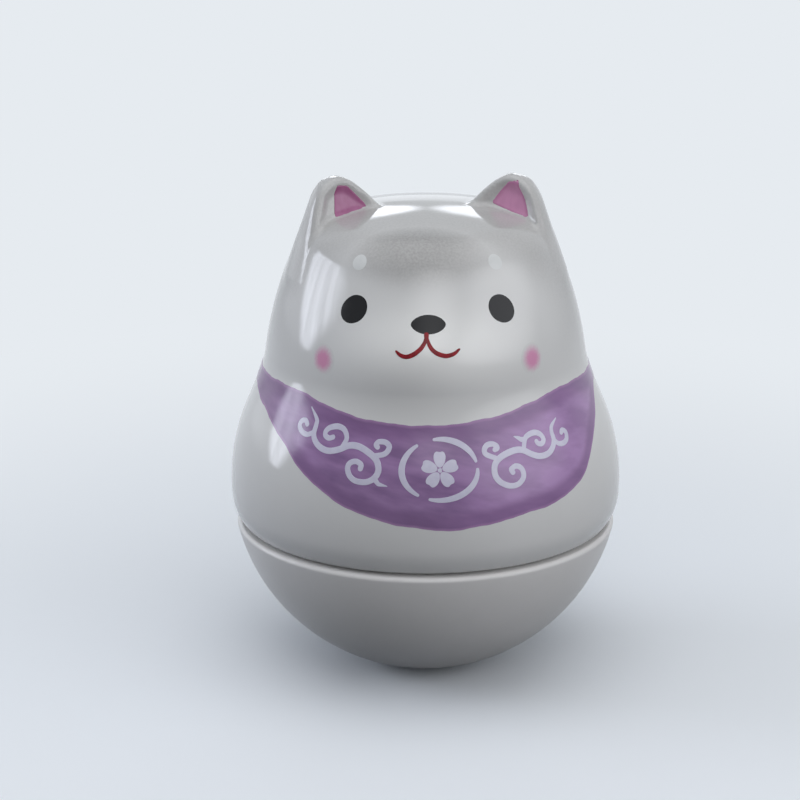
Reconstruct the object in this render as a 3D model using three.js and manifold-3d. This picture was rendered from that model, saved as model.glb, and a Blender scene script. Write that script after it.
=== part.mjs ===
// Roly-poly dog figurine: a hollow glazed ceramic body with two ears, closed below by a
// moulded ball-shaped bowl that holds a cast-iron ballast, so that the figure rights itself.
// The bib, its ornament and the face are fired enamel films that lie on the glaze.
// Units are millimetres, +Z is up and the face looks along -Y. The origin is the middle of
// the small flat land under the bowl.
import * as THREE from "three";
import { mergeVertices } from "three/addons/utils/BufferGeometryUtils.js";
import Module from "manifold-3d";

const wasm = await Module();
wasm.setup();

// Ball: the belly and the bowl share one sphere, which is what the figure rocks on.
const BALL_RADIUS = 25;
const LAND_RADIUS = 4;

// Head: a barrel that rises out of the ball, with a shallow domed crown.
// It is widest a little above the ball's centre, and the shoulders stand out beyond it.
const SHOULDER = 4.2;
const NECK_RISE = 10.725;
const HEAD_TALL = 25.1;
const HEAD_ARC = 48;
const NECK_BLEND = 2.2;
const CROWN_RADIUS = 55;
const CROWN_FILLET = 4.2;

// Muzzle: a low mound round the nose and the mouth. Places on the face are shares of the
// head's height, down from the crown.
const MUZZLE_DOWN_SHARE = 0.486;
const MUZZLE_RISE = 0.9;
const MUZZLE_SPREAD_ACROSS = 4.4;
const MUZZLE_SPREAD_UP = 3.6;

// Ears: slices of the head's own wall carried upwards, cut to a rounded triangle, thinned to
// the tip and hollowed in front. They are finished by hand, so the two differ a little.
const EAR_INSET = 11.2;
const EAR_RISE = 3.75;
const EAR_FRONT_LEFT = -2.7;
const EAR_FRONT_RIGHT = -1.2;
const EAR_TURN_LEFT = 30;
const EAR_TURN_RIGHT = 24;
const EAR_INNER_REACH = 5.2;
const EAR_TIP_OFFSET = 0.4;
const EAR_TIP_RADIUS = 1.9;
const EAR_SHOULDER_OUT = 3.9;
const EAR_SHOULDER_DROP = 2.3;
const EAR_ROOT_DEPTH = 5.4;
const EAR_LEAN = 1.3;
const EAR_ROOT_THICKNESS = 5.2;
const EAR_TIP_THICKNESS = 2.1;
const EAR_SIDE_SLOPE = 0.4;
const EAR_RIM = 0.8;
const EAR_SCOOP = 0.5;
const PINK_OUTER = 1.8;
const PINK_INNER = 2.5;
const PINK_BELOW_TIP = 1.25;

// Joint between the body and the bowl.
const SEAM_HEIGHT = 19.8;
const SEAM_GAP = 0.3;
const FOOT_LIP = 2.1;
const FOOT_WALL = 3;
const RIM_EDGE = 0.7;
const SPIGOT_CLEARANCE = 0.4;
const SPIGOT_HEIGHT = 4.5;
const SPIGOT_WALL = 1.8;
const SPIGOT_LEDGE = 2.5;
const SPIGOT_CHAMFER = 0.4;
const GLUE_GROOVE_DEPTH = 0.6;
const GLUE_GROOVE_HEIGHT = 2;
const GLUE_GAP = 0.15;

// Walls.
const BODY_WALL = 2.6;
const BOWL_WALL = 2.2;

// Ballast and the screw that holds it down.
const SEAT_GAP = 0.3;
const BALLAST_TOP = 12.6;
const BALLAST_CHAMFER = 0.8;
const BOSS_RADIUS = 3.2;
const BOSS_TOP = 8.8;
const SCREW_RADIUS = 1.25;
const SCREW_LENGTH = 9;
const SCREW_HEAD_RADIUS = 2.8;
const SCREW_HEAD_HEIGHT = 1.9;
const SCREW_CLEARANCE = 0.35;
const SLOT_WIDTH = 0.8;
const SLOT_DEPTH = 1;
const WASHER_RADIUS = 4.2;
const WASHER_THICKNESS = 0.8;

// Enamel films, drawn thicker than life so that each is a solid.
const PAINT_GAP = 0.1;
const PAINT_THICKNESS = 0.2;

// Face: angles in degrees from the front.
const FACE_TURN = 1;
const EYE_ANGLE = 29;
const EYE_DOWN_SHARE = 0.371;
const EYE_WIDTH = 3.7;
const EYE_TALL = 3.3;
const BROW_ANGLE = 31;
const BROW_DOWN_SHARE = 0.165;
const BROW_SIZE = 1.9;
const CHEEK_ANGLE = 39;
const CHEEK_DOWN_SHARE = 0.626;
const CHEEK_WIDTH = 3.4;
const CHEEK_TALL = 3.2;
const NOSE_DOWN_SHARE = 0.414;
const NOSE_WIDTH = 4.4;
const NOSE_TALL = 2.2;
const NOSE_POINT = 1.4;
const MOUTH_GAP = 0.05;
const MOUTH_STEM = 1.2;
const MOUTH_HALF_WIDTH = 4.05;
const MOUTH_SAG = 2.4;
const MOUTH_CORNER_DROP = 1;
const MOUTH_LINE = 0.62;

// Bib: a neckerchief, worn a little off centre, that thins to a band round the back.
const BIB_TURN = 7;
const BIB_LOW_BELOW_NECK = 9.5;
const BIB_DIP = 2.1;
const BIB_DIP_HALF_ANGLE = 57;
const BIB_HALF_ANGLE = 85;
const BAND_ABOVE_NECK = 2.8;
const BAND_WIDTH = 1.9;

// Ornament on the bib: two scrolls beside a broken ring with a blossom in it.
const ORNAMENT_TURN = 4.2;
const ORNAMENT_BELOW_NECK = 2.3;
const ORNAMENT_LINE = 0.75;
const RING_HALF_WIDTH = 4.6;
const RING_HALF_TALL = 3.7;
const RING_ARCS = { left: [128, 235], low: [255, 358], high: [14, 98] };
const BLOSSOM_RADIUS = 2.5;
const BLOSSOM_NOTCH = 0.55;
const PETALS = 5;
const SCROLL_LENGTH = 20;
const SCROLL_ROOT = 9;
const RIGHT_SCROLL_IN = 0.9;
const RIGHT_SCROLL_LOWER = 0.9;
const RIGHT_SCROLL_TILT = -4.5;

// Facets.
const TURN_FACETS = 60;
const BOWL_FACETS = 44;
const CAVITY_FACETS = 32;
const SMALL_FACETS = 20;
const BIB_FACETS = 64;

const glaze = new THREE.MeshStandardMaterial({ color: 0xd9d6d1, roughness: 0.12 });
const moulding = new THREE.MeshStandardMaterial({ color: 0xcfccc7, roughness: 0.4 });
const iron = new THREE.MeshStandardMaterial({ color: 0x3d3f41, roughness: 0.7, metalness: 0.7 });
const steel = new THREE.MeshStandardMaterial({ color: 0xa9abad, roughness: 0.35, metalness: 0.9 });
const adhesive = new THREE.MeshStandardMaterial({ color: 0xd8c99a, roughness: 0.45 });
const purple = new THREE.MeshStandardMaterial({ color: 0x8e69a3, roughness: 0.15 });
const pink = new THREE.MeshStandardMaterial({ color: 0xc0709f, roughness: 0.2 });
const blush = new THREE.MeshStandardMaterial({ color: 0xd994b8, roughness: 0.25 });
const black = new THREE.MeshStandardMaterial({ color: 0x1c1c1f, roughness: 0.15 });
const red = new THREE.MeshStandardMaterial({ color: 0xb03040, roughness: 0.2 });
const white = new THREE.MeshStandardMaterial({ color: 0xe6e6e8, roughness: 0.15 });

// Sizes that follow from the ones above.
const BALL_CENTRE = Math.sqrt(BALL_RADIUS ** 2 - LAND_RADIUS ** 2);
const HEAD_RADIUS = BALL_RADIUS - SHOULDER;
const HEAD_WIDEST = BALL_CENTRE + NECK_RISE;
const CROWN_HEIGHT = HEAD_WIDEST + HEAD_TALL;
const EAR_X = HEAD_RADIUS - EAR_INSET;
const FOOT = SEAM_HEIGHT + SEAM_GAP / 2;
const RIM = SEAM_HEIGHT - SEAM_GAP / 2;
const FOOT_BORE = ballRadius(FOOT, FOOT_WALL);
const SPIGOT_RADIUS = FOOT_BORE - SPIGOT_CLEARANCE;
const SPIGOT_TOP = SEAM_HEIGHT + SPIGOT_HEIGHT;
const GLUE_MIDDLE = SEAM_HEIGHT + SPIGOT_HEIGHT / 2;
const PILOT_RADIUS = SCREW_RADIUS + SCREW_CLEARANCE;
const SCREW_SEAT = BALLAST_TOP + SEAT_GAP + WASHER_THICKNESS + SEAT_GAP;
const HEAD = headArcs();

// Small helpers

function at2(radius, height) {
  return new THREE.Vector2(radius, height);
}

// The larger of two radii, with a hollow of the given width eased in where they cross.
function easedMax(a, b, width) {
  const near = Math.max(width - Math.abs(a - b), 0) / width;
  return Math.max(a, b) + (near * near * width) / 4;
}

// Points of an arc in the (radius, height) plane, with angles in radians.
function arc(centre, radius, from, to, steps) {
  return Array.from({ length: steps + 1 }, (_, i) => {
    const angle = from + ((to - from) * i) / steps;
    return at2(centre.x + radius * Math.cos(angle), centre.y + radius * Math.sin(angle));
  });
}

// One closed skin: shared vertices merged and triangles without area left out.
function closed(geometry) {
  geometry.deleteAttribute("normal");
  geometry.deleteAttribute("uv");
  const merged = mergeVertices(geometry, 1e-4);
  const index = merged.index.array;
  const kept = [];
  for (let i = 0; i < index.length; i += 3) {
    const [a, b, c] = index.slice(i, i + 3);
    if (a !== b && b !== c && c !== a) kept.push(a, b, c);
  }
  merged.setIndex(kept);
  merged.computeVertexNormals();
  return merged;
}

function toSolid(geometry) {
  const skin = closed(geometry);
  const vertProperties = new Float32Array(skin.attributes.position.array);
  const triVerts = new Uint32Array(skin.index.array);
  return new wasm.Manifold(new wasm.Mesh({ numProp: 3, vertProperties, triVerts }));
}

function toGeometry(solid) {
  const mesh = solid.getMesh();
  const geometry = new THREE.BufferGeometry();
  geometry.setAttribute("position", new THREE.BufferAttribute(mesh.vertProperties, 3));
  geometry.setIndex(new THREE.BufferAttribute(mesh.triVerts, 1));
  geometry.computeVertexNormals();
  return geometry;
}

// A solid of revolution about Z. The profile runs up the outside and down the inside.
function turned(profile, facets) {
  return closed(new THREE.LatheGeometry(profile, facets).rotateX(Math.PI / 2));
}

// Outside of the body

function ballRadius(height, inset = 0) {
  const rise = height - BALL_CENTRE;
  return Math.sqrt(Math.max((BALL_RADIUS - inset) ** 2 - rise ** 2, 0));
}

function headRadius(height, inset = 0) {
  const rise = height - HEAD_WIDEST;
  return HEAD_RADIUS - HEAD_ARC + Math.sqrt(Math.max((HEAD_ARC - inset) ** 2 - rise ** 2, 0));
}

// Radius of the ball and of the head's side, which run into each other at the neck.
function sideRadius(height, inset = 0) {
  return easedMax(ballRadius(height, inset), headRadius(height, inset), NECK_BLEND);
}

// The fillet that touches both the head's side and the crown from inside.
function headArcs() {
  const side = at2(HEAD_RADIUS - HEAD_ARC, HEAD_WIDEST);
  const crown = at2(0, CROWN_HEIGHT - CROWN_RADIUS);
  const sideReach = HEAD_ARC - CROWN_FILLET;
  const crownReach = CROWN_RADIUS - CROWN_FILLET;
  const span = crown.distanceTo(side);
  const along = (span ** 2 + sideReach ** 2 - crownReach ** 2) / (2 * span);
  const across = Math.sqrt(sideReach ** 2 - along ** 2);
  const toCrown = crown.clone().sub(side).normalize();
  const square = at2(-toCrown.y, toCrown.x);
  const fillet = side.clone().addScaledVector(toCrown, along).addScaledVector(square, across);
  return {
    crown,
    fillet,
    sideAngle: fillet.clone().sub(side).angle(),
    crownAngle: fillet.clone().sub(crown).angle(),
  };
}

// Height at which the fillet starts, for a skin set in from the outside.
function filletStart(inset = 0) {
  return HEAD.fillet.y + (CROWN_FILLET - inset) * Math.sin(HEAD.sideAngle);
}

function bodyRadius(height) {
  if (height <= filletStart()) return sideRadius(height);
  return HEAD.fillet.x + Math.sqrt(Math.max(CROWN_FILLET ** 2 - (height - HEAD.fillet.y) ** 2, 0));
}

function crownAt(x, y) {
  return HEAD.crown.y + Math.sqrt(CROWN_RADIUS ** 2 - x ** 2 - y ** 2);
}

function sidePoints(from, to, inset, steps) {
  return Array.from({ length: steps + 1 }, (_, i) => {
    const height = from + ((to - from) * i) / steps;
    return at2(sideRadius(height, inset), height);
  });
}

// From the top of the head's side over the fillet and the crown to the pole.
function crownPoints(inset, filletSteps, crownSteps) {
  const fillet = arc(HEAD.fillet, CROWN_FILLET - inset, HEAD.sideAngle, HEAD.crownAngle, filletSteps);
  const crown = arc(HEAD.crown, CROWN_RADIUS - inset, HEAD.crownAngle, Math.PI / 2, crownSteps);
  return [...fillet.slice(1), ...crown.slice(1, -1), at2(0, CROWN_HEIGHT - inset)];
}

function muzzleRise(angle, height) {
  const across = (angle * sideRadius(height)) / MUZZLE_SPREAD_ACROSS;
  const up = (height - CROWN_HEIGHT + MUZZLE_DOWN_SHARE * HEAD_TALL) / MUZZLE_SPREAD_UP;
  return MUZZLE_RISE * Math.exp(-(across ** 2 + up ** 2) / 2);
}

// A point on the glaze at an angle from the front, lifted square off the surface.
function onGlaze(angle, height, lift) {
  const step = 0.05;
  const radius = (h) => bodyRadius(h) + muzzleRise(angle, h);
  const slope = (radius(height + step) - radius(height - step)) / (2 * step);
  const square = at2(1, -slope).normalize();
  const r = radius(height) + lift * square.x;
  return new THREE.Vector3(r * Math.sin(angle), -r * Math.cos(angle), height + lift * square.y);
}

// Body shell

function bodyOutside() {
  const lipCentre = at2(ballRadius(FOOT + FOOT_LIP, FOOT_LIP), FOOT + FOOT_LIP);
  const lipEnd = Math.atan2(lipCentre.y - BALL_CENTRE, lipCentre.x);
  const lip = arc(lipCentre, FOOT_LIP, -Math.PI / 2, lipEnd, 4);
  const neckStart = HEAD_WIDEST;
  const neckEnd = HEAD_WIDEST + 3 * NECK_BLEND;
  const profile = [
    at2(0, FOOT),
    ...lip,
    ...sidePoints(lip.at(-1).y, neckStart, 0, 6).slice(1),
    ...sidePoints(neckStart, neckEnd, 0, 6).slice(1),
    ...sidePoints(neckEnd, filletStart(), 0, 8).slice(1),
    ...crownPoints(0, 4, 3),
  ];
  const skin = turned(profile, TURN_FACETS);
  const position = skin.attributes.position;
  for (let i = 0; i < position.count; i += 1) {
    const [x, y, z] = [position.getX(i), position.getY(i), position.getZ(i)];
    const radius = Math.hypot(x, y);
    if (z <= neckStart || z > filletStart() || radius === 0) continue;
    const scale = 1 + muzzleRise(Math.atan2(x, -y), z) / radius;
    position.setXY(i, x * scale, y * scale);
  }
  return toSolid(skin);
}

function bodyCavity() {
  const boreTop = SPIGOT_TOP + SEAT_GAP;
  const profile = [
    at2(0, FOOT - BODY_WALL),
    at2(FOOT_BORE, FOOT - BODY_WALL),
    at2(FOOT_BORE, boreTop),
    ...sidePoints(boreTop + FOOT_WALL - BODY_WALL, filletStart(BODY_WALL), BODY_WALL, 12),
    ...crownPoints(BODY_WALL, 2, 2),
  ];
  return toSolid(turned(profile, CAVITY_FACETS));
}

// The head's side carried on upwards as a cone, which is the outer face of both ears.
function earCone() {
  const from = filletStart();
  const to = CROWN_HEIGHT + EAR_RISE + EAR_TIP_RADIUS;
  const radius = sideRadius(from);
  const profile = [
    at2(0, from - EAR_ROOT_DEPTH),
    at2(sideRadius(from - EAR_ROOT_DEPTH), from - EAR_ROOT_DEPTH),
    at2(sideRadius(from - EAR_ROOT_DEPTH / 2), from - EAR_ROOT_DEPTH / 2),
    at2(radius, from),
    at2(radius - EAR_SIDE_SLOPE * (to - from), to),
    at2(0, to),
  ];
  return toSolid(turned(profile, TURN_FACETS));
}

// Front outline of an ear, across its own face. The outer edge is left to the cone.
function earOutline(ear, inset) {
  const tip = CROWN_HEIGHT + EAR_RISE - inset;
  const root = CROWN_HEIGHT - EAR_ROOT_DEPTH;
  const inner = -EAR_INNER_REACH + 1.5 * inset;
  const shoulder = EAR_SHOULDER_OUT - inset;
  const outer = BALL_RADIUS - EAR_X - inset;
  const outline = new THREE.Shape();
  outline.moveTo(ear.sign * (inner - EAR_ROOT_DEPTH), root);
  outline.lineTo(ear.sign * inner, CROWN_HEIGHT - inset / 2);
  outline.lineTo(ear.sign * (EAR_TIP_OFFSET - EAR_TIP_RADIUS), tip - EAR_TIP_RADIUS / 3);
  outline.quadraticCurveTo(
    ear.sign * EAR_TIP_OFFSET,
    tip + EAR_TIP_RADIUS / 3,
    ear.sign * (EAR_TIP_OFFSET + EAR_TIP_RADIUS),
    tip - EAR_TIP_RADIUS / 3,
  );
  outline.quadraticCurveTo(
    ear.sign * (shoulder - EAR_TIP_RADIUS / 3),
    tip - EAR_SHOULDER_DROP / 2,
    ear.sign * shoulder,
    tip - EAR_SHOULDER_DROP,
  );
  outline.lineTo(ear.sign * outer, CROWN_HEIGHT - EAR_ROOT_DEPTH / 2);
  outline.lineTo(ear.sign * outer, root);
  return outline;
}

// A slab with an ear's outline. Front and back give the depth behind the ear's face at a
// height above the crown; the slab then leans back and turns in to the middle of the face.
function earSlab(ear, outline, front, back) {
  const slab = new THREE.ExtrudeGeometry(outline, { depth: 1, bevelEnabled: false, curveSegments: 3 });
  const position = slab.attributes.position;
  const turn = THREE.MathUtils.degToRad(ear.turn) * ear.sign;
  for (let i = 0; i < position.count; i += 1) {
    const across = position.getX(i);
    const height = position.getY(i);
    const above = (height - CROWN_HEIGHT) / EAR_RISE;
    const depth = position.getZ(i) > 0.5 ? front(above) : back(above);
    const behind = depth + EAR_LEAN * above;
    position.setXYZ(
      i,
      ear.sign * EAR_X + across * Math.cos(turn) + behind * Math.sin(turn),
      ear.front - across * Math.sin(turn) + behind * Math.cos(turn),
      height,
    );
  }
  return closed(slab);
}

function earThickness(above) {
  return THREE.MathUtils.lerp(EAR_ROOT_THICKNESS, EAR_TIP_THICKNESS, above);
}

function earSolid(ear) {
  const slab = toSolid(earSlab(ear, earOutline(ear, 0), () => 0, earThickness));
  const scoop = toSolid(earSlab(ear, earOutline(ear, EAR_RIM), () => -EAR_LEAN, () => EAR_SCOOP));
  return slab.intersect(earCone()).subtract(scoop);
}

// The pink of an ear: a triangle on the floor of the scoop, clear of the crown below it.
function innerEar(ear) {
  const tip = CROWN_HEIGHT + EAR_RISE - PINK_BELOW_TIP;
  const turn = THREE.MathUtils.degToRad(ear.turn);
  const floor = (across) => {
    const x = EAR_X + across * Math.cos(turn);
    const y = ear.front - across * Math.sin(turn);
    return crownAt(x, y) + EAR_SCOOP;
  };
  const outline = new THREE.Shape();
  outline.moveTo(-ear.sign * PINK_INNER, floor(-PINK_INNER));
  outline.lineTo(ear.sign * PINK_OUTER, floor(PINK_OUTER));
  outline.lineTo(ear.sign * (EAR_TIP_OFFSET + PINK_OUTER) * 0.5, tip);
  outline.lineTo(ear.sign * EAR_TIP_OFFSET * 0.5, tip);
  const top = EAR_SCOOP - PAINT_GAP - PAINT_THICKNESS;
  return earSlab(ear, outline, () => top, () => top + PAINT_THICKNESS);
}

const EARS = [
  { side: "left", sign: -1, front: EAR_FRONT_LEFT, turn: EAR_TURN_LEFT },
  { side: "right", sign: 1, front: EAR_FRONT_RIGHT, turn: EAR_TURN_RIGHT },
];

function bodyShell() {
  const outside = EARS.reduce((body, ear) => body.add(earSolid(ear)), bodyOutside());
  return toGeometry(outside.subtract(bodyCavity()));
}

// Bowl, ballast and fasteners

function baseBowl() {
  const inner = BALL_RADIUS - BOWL_WALL;
  const innerAngle = (radius) => -Math.acos(radius / inner);
  const middle = at2(0, BALL_CENTRE);
  const landAngle = -Math.acos(LAND_RADIUS / BALL_RADIUS);
  const edgeCentre = at2(ballRadius(RIM - RIM_EDGE, RIM_EDGE), RIM - RIM_EDGE);
  const edgeAngle = Math.atan2(edgeCentre.y - BALL_CENTRE, edgeCentre.x);
  const groove = SPIGOT_RADIUS - GLUE_GROOVE_DEPTH;
  const bore = SPIGOT_RADIUS - SPIGOT_WALL;
  const ledge = RIM - SPIGOT_LEDGE;
  const ledgeRadius = ballRadius(ledge - SPIGOT_LEDGE / 2, BOWL_WALL);
  const pilotFloor = SCREW_SEAT - SCREW_LENGTH - SEAT_GAP;
  return turned(
    [
      at2(0, 0),
      ...arc(middle, BALL_RADIUS, landAngle, edgeAngle, 10),
      ...arc(edgeCentre, RIM_EDGE, edgeAngle, Math.PI / 2, 3).slice(1),
      at2(SPIGOT_RADIUS, RIM),
      at2(SPIGOT_RADIUS, GLUE_MIDDLE - GLUE_GROOVE_HEIGHT / 2),
      at2(groove, GLUE_MIDDLE - GLUE_GROOVE_HEIGHT / 2),
      at2(groove, GLUE_MIDDLE + GLUE_GROOVE_HEIGHT / 2),
      at2(SPIGOT_RADIUS, GLUE_MIDDLE + GLUE_GROOVE_HEIGHT / 2),
      at2(SPIGOT_RADIUS, SPIGOT_TOP - SPIGOT_CHAMFER),
      at2(SPIGOT_RADIUS - SPIGOT_CHAMFER, SPIGOT_TOP),
      at2(bore, SPIGOT_TOP),
      at2(bore, ledge),
      ...arc(middle, inner, innerAngle(ledgeRadius), innerAngle(BOSS_RADIUS), 8),
      at2(BOSS_RADIUS, BOSS_TOP),
      at2(PILOT_RADIUS, BOSS_TOP),
      at2(PILOT_RADIUS, pilotFloor),
      at2(0, pilotFloor),
    ],
    BOWL_FACETS,
  );
}

// Cast plug that fills the bottom of the bowl and slips over the screw boss.
function ballastWeight() {
  const radius = BALL_RADIUS - BOWL_WALL - SEAT_GAP;
  const middle = at2(0, BALL_CENTRE);
  const hole = BOSS_RADIUS + SEAT_GAP;
  const shoulder = BALLAST_TOP - BALLAST_CHAMFER;
  const from = -Math.acos(hole / radius);
  const to = Math.asin((shoulder - BALL_CENTRE) / radius);
  const outside = arc(middle, radius, from, to, 8);
  return turned(
    [
      at2(hole, BOSS_TOP + SEAT_GAP),
      ...outside,
      at2(outside.at(-1).x - BALLAST_CHAMFER, BALLAST_TOP),
      at2(PILOT_RADIUS, BALLAST_TOP),
      at2(PILOT_RADIUS, BOSS_TOP + SEAT_GAP),
      at2(hole, BOSS_TOP + SEAT_GAP),
    ],
    CAVITY_FACETS,
  );
}

function weightWasher() {
  const low = BALLAST_TOP + SEAT_GAP;
  const high = low + WASHER_THICKNESS;
  return turned(
    [
      at2(PILOT_RADIUS, low),
      at2(WASHER_RADIUS, low),
      at2(WASHER_RADIUS, high),
      at2(PILOT_RADIUS, high),
      at2(PILOT_RADIUS, low),
    ],
    SMALL_FACETS,
  );
}

// Pan-head screw with a plain shank and a slot.
function weightScrew() {
  const point = SCREW_SEAT - SCREW_LENGTH;
  const top = SCREW_SEAT + SCREW_HEAD_HEIGHT;
  const crown = SCREW_HEAD_HEIGHT / 2;
  const screw = turned(
    [
      at2(0, point),
      at2(SCREW_RADIUS, point + SCREW_RADIUS),
      at2(SCREW_RADIUS, SCREW_SEAT),
      at2(SCREW_HEAD_RADIUS, SCREW_SEAT),
      at2(SCREW_HEAD_RADIUS, top - crown),
      at2(SCREW_HEAD_RADIUS * 0.8, top - crown / 4),
      at2(SCREW_HEAD_RADIUS * 0.5, top),
      at2(0, top),
    ],
    SMALL_FACETS,
  );
  const slot = new THREE.BoxGeometry(3 * SCREW_HEAD_RADIUS, SLOT_WIDTH, 2 * SLOT_DEPTH);
  slot.translate(0, 0, top);
  return toGeometry(toSolid(screw).subtract(toSolid(slot)));
}

function glueBead() {
  const inside = SPIGOT_RADIUS - GLUE_GROOVE_DEPTH + GLUE_GAP;
  const outside = FOOT_BORE - GLUE_GAP;
  const low = GLUE_MIDDLE - GLUE_GROOVE_HEIGHT / 2 + GLUE_GAP;
  const high = GLUE_MIDDLE + GLUE_GROOVE_HEIGHT / 2 - GLUE_GAP;
  const reach = GLUE_GROOVE_DEPTH / 2;
  return turned(
    [
      at2(inside, low),
      at2(inside + reach, low),
      at2(outside, low + GLUE_GAP),
      at2(outside, high - GLUE_GAP),
      at2(inside + reach, high),
      at2(inside, high),
      at2(inside, low),
    ],
    BOWL_FACETS,
  );
}

// Enamel films

// A closed film over a grid of places on the glaze: columns run to the right as seen from
// outside and rows run up. A ring joins its last column to its first.
function film(columns, rows, place, low, ring = false) {
  const corners = [];
  const faces = [];
  const across = ring ? columns : columns + 1;
  const index = (i, j, top) => (top * across + (i % across)) * (rows + 1) + j;
  for (const lift of [low, low + PAINT_THICKNESS]) {
    for (let i = 0; i < across; i += 1) {
      for (let j = 0; j <= rows; j += 1) corners.push(place(i / columns, j / rows, lift));
    }
  }
  const quad = (a, b, c, d) => faces.push(a, b, c, a, c, d);
  for (let i = 0; i < columns; i += 1) {
    for (let j = 0; j < rows; j += 1) {
      quad(index(i, j, 1), index(i + 1, j, 1), index(i + 1, j + 1, 1), index(i, j + 1, 1));
      quad(index(i, j, 0), index(i, j + 1, 0), index(i + 1, j + 1, 0), index(i + 1, j, 0));
    }
    quad(index(i, 0, 0), index(i + 1, 0, 0), index(i + 1, 0, 1), index(i, 0, 1));
    quad(index(i, rows, 1), index(i + 1, rows, 1), index(i + 1, rows, 0), index(i, rows, 0));
  }
  for (let j = 0; j < rows && !ring; j += 1) {
    quad(index(0, j, 0), index(0, j, 1), index(0, j + 1, 1), index(0, j + 1, 0));
    quad(index(columns, j, 0), index(columns, j + 1, 0), index(columns, j + 1, 1), index(columns, j, 1));
  }
  const skin = new THREE.BufferGeometry().setFromPoints(corners);
  skin.setIndex(faces);
  return closed(skin);
}

// Places on the glaze by distance along it from a centre: to the right and up.
function paper(degrees, height) {
  const angle = THREE.MathUtils.degToRad(degrees);
  const radius = bodyRadius(height);
  const slope = (bodyRadius(height + 1) - bodyRadius(height - 1)) / 2;
  const steep = 1 / Math.hypot(1, slope);
  return (right, up, lift) => onGlaze(angle + right / radius, height + up * steep, lift);
}

// A filled shape about a centre. The edge is a function of the angle round the centre.
function spot(sheet, edge, facets, low = PAINT_GAP) {
  const rings = 2;
  const place = (u, v, lift) => {
    const point = edge(-2 * Math.PI * u);
    return sheet(point.x * (1 - v), point.y * (1 - v), lift);
  };
  return film(facets, rings, (u, v, lift) => place(-u, v, lift), low, true);
}

function ellipse(width, tall) {
  return (angle) => at2((width / 2) * Math.cos(angle), (tall / 2) * Math.sin(angle));
}

// A brush stroke along a curve, thinner where it starts and ends.
function stroke(sheet, curve, line, ends, steps, low = PAINT_GAP) {
  const place = (u, v, lift) => {
    const point = curve.getPoint(u);
    const ahead = curve.getTangent(u);
    const swell = THREE.MathUtils.lerp(ends[0], ends[1], u);
    const width = line * (swell + (1 - swell) * Math.sin(Math.PI * u));
    const side = (v - 0.5) * width;
    return sheet(point.x - ahead.y * side, point.y + ahead.x * side, lift);
  };
  return film(steps, 1, place, low);
}

// Several strokes joined to one film. Each lies a hair higher than the one before it.
function strokes(parts) {
  return toGeometry(parts.map(toSolid).reduce((all, part) => all.add(part)));
}

// The painted face sits a little to the right of the mould's middle.
function facePaper(degrees, downShare) {
  return paper(FACE_TURN + degrees, CROWN_HEIGHT - downShare * HEAD_TALL);
}

function eye(sign) {
  const sheet = facePaper(sign * EYE_ANGLE, EYE_DOWN_SHARE);
  return spot(sheet, ellipse(EYE_WIDTH, EYE_TALL), SMALL_FACETS);
}

function brow(sign) {
  const sheet = facePaper(sign * BROW_ANGLE, BROW_DOWN_SHARE);
  return spot(sheet, ellipse(BROW_SIZE, BROW_SIZE), SMALL_FACETS);
}

function cheek(sign) {
  const sheet = facePaper(sign * CHEEK_ANGLE, CHEEK_DOWN_SHARE);
  return spot(sheet, ellipse(CHEEK_WIDTH, CHEEK_TALL), SMALL_FACETS);
}

// The nose comes to a point at both sides.
function nose() {
  const edge = (angle) => {
    const rise = Math.sin(angle);
    const up = (NOSE_TALL / 2) * Math.sign(rise) * Math.abs(rise) ** NOSE_POINT;
    return at2((NOSE_WIDTH / 2) * Math.cos(angle), up);
  };
  return spot(facePaper(0, NOSE_DOWN_SHARE), edge, SMALL_FACETS);
}

function mouth() {
  const onNose = facePaper(0, NOSE_DOWN_SHARE);
  const drop = NOSE_TALL / 2 + MOUTH_GAP + MOUTH_STEM;
  const sheet = (right, up, lift) => onNose(right, up - drop, lift);
  const hair = PAINT_THICKNESS / 10;
  const side = (sign) =>
    new THREE.CubicBezierCurve(
      at2(0, 0),
      at2((sign * MOUTH_HALF_WIDTH) / 6, -MOUTH_SAG * 0.7),
      at2(sign * MOUTH_HALF_WIDTH * 0.7, -MOUTH_SAG),
      at2(sign * MOUTH_HALF_WIDTH, -MOUTH_CORNER_DROP),
    );
  const stem = new THREE.LineCurve(at2(0, MOUTH_STEM), at2(0, -MOUTH_LINE / 2));
  return strokes([
    stroke(sheet, stem, MOUTH_LINE, [0.8, 0.9], 3),
    stroke(sheet, side(-1), MOUTH_LINE, [0.8, 0.4], 10, PAINT_GAP + hair),
    stroke(sheet, side(1), MOUTH_LINE, [0.8, 0.4], 10, PAINT_GAP + 2 * hair),
  ]);
}

// The bib's edges, as heights at an angle from the front in degrees.
function bibLower(degrees) {
  const share = Math.min(Math.abs(degrees - BIB_TURN) / BIB_HALF_ANGLE, 1);
  const band = HEAD_WIDEST + BAND_ABOVE_NECK;
  return THREE.MathUtils.lerp(HEAD_WIDEST - BIB_LOW_BELOW_NECK, band, Math.sin((share * Math.PI) / 2) ** 3);
}

function bibUpper(degrees) {
  const share = Math.min(Math.abs(degrees - BIB_TURN / 2) / BIB_DIP_HALF_ANGLE, 1);
  const band = HEAD_WIDEST + BAND_ABOVE_NECK + BAND_WIDTH;
  return band - BIB_DIP * Math.cos((share * Math.PI) / 2) ** 2;
}

function bib() {
  const place = (u, v, lift) => {
    const degrees = u * 360 - 180;
    const height = THREE.MathUtils.lerp(bibLower(degrees), bibUpper(degrees), v);
    return onGlaze(THREE.MathUtils.degToRad(degrees), height, lift);
  };
  return film(BIB_FACETS, 4, place, PAINT_GAP, true);
}

// Ornament

const ON_BIB = 2 * PAINT_GAP + PAINT_THICKNESS;

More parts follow.
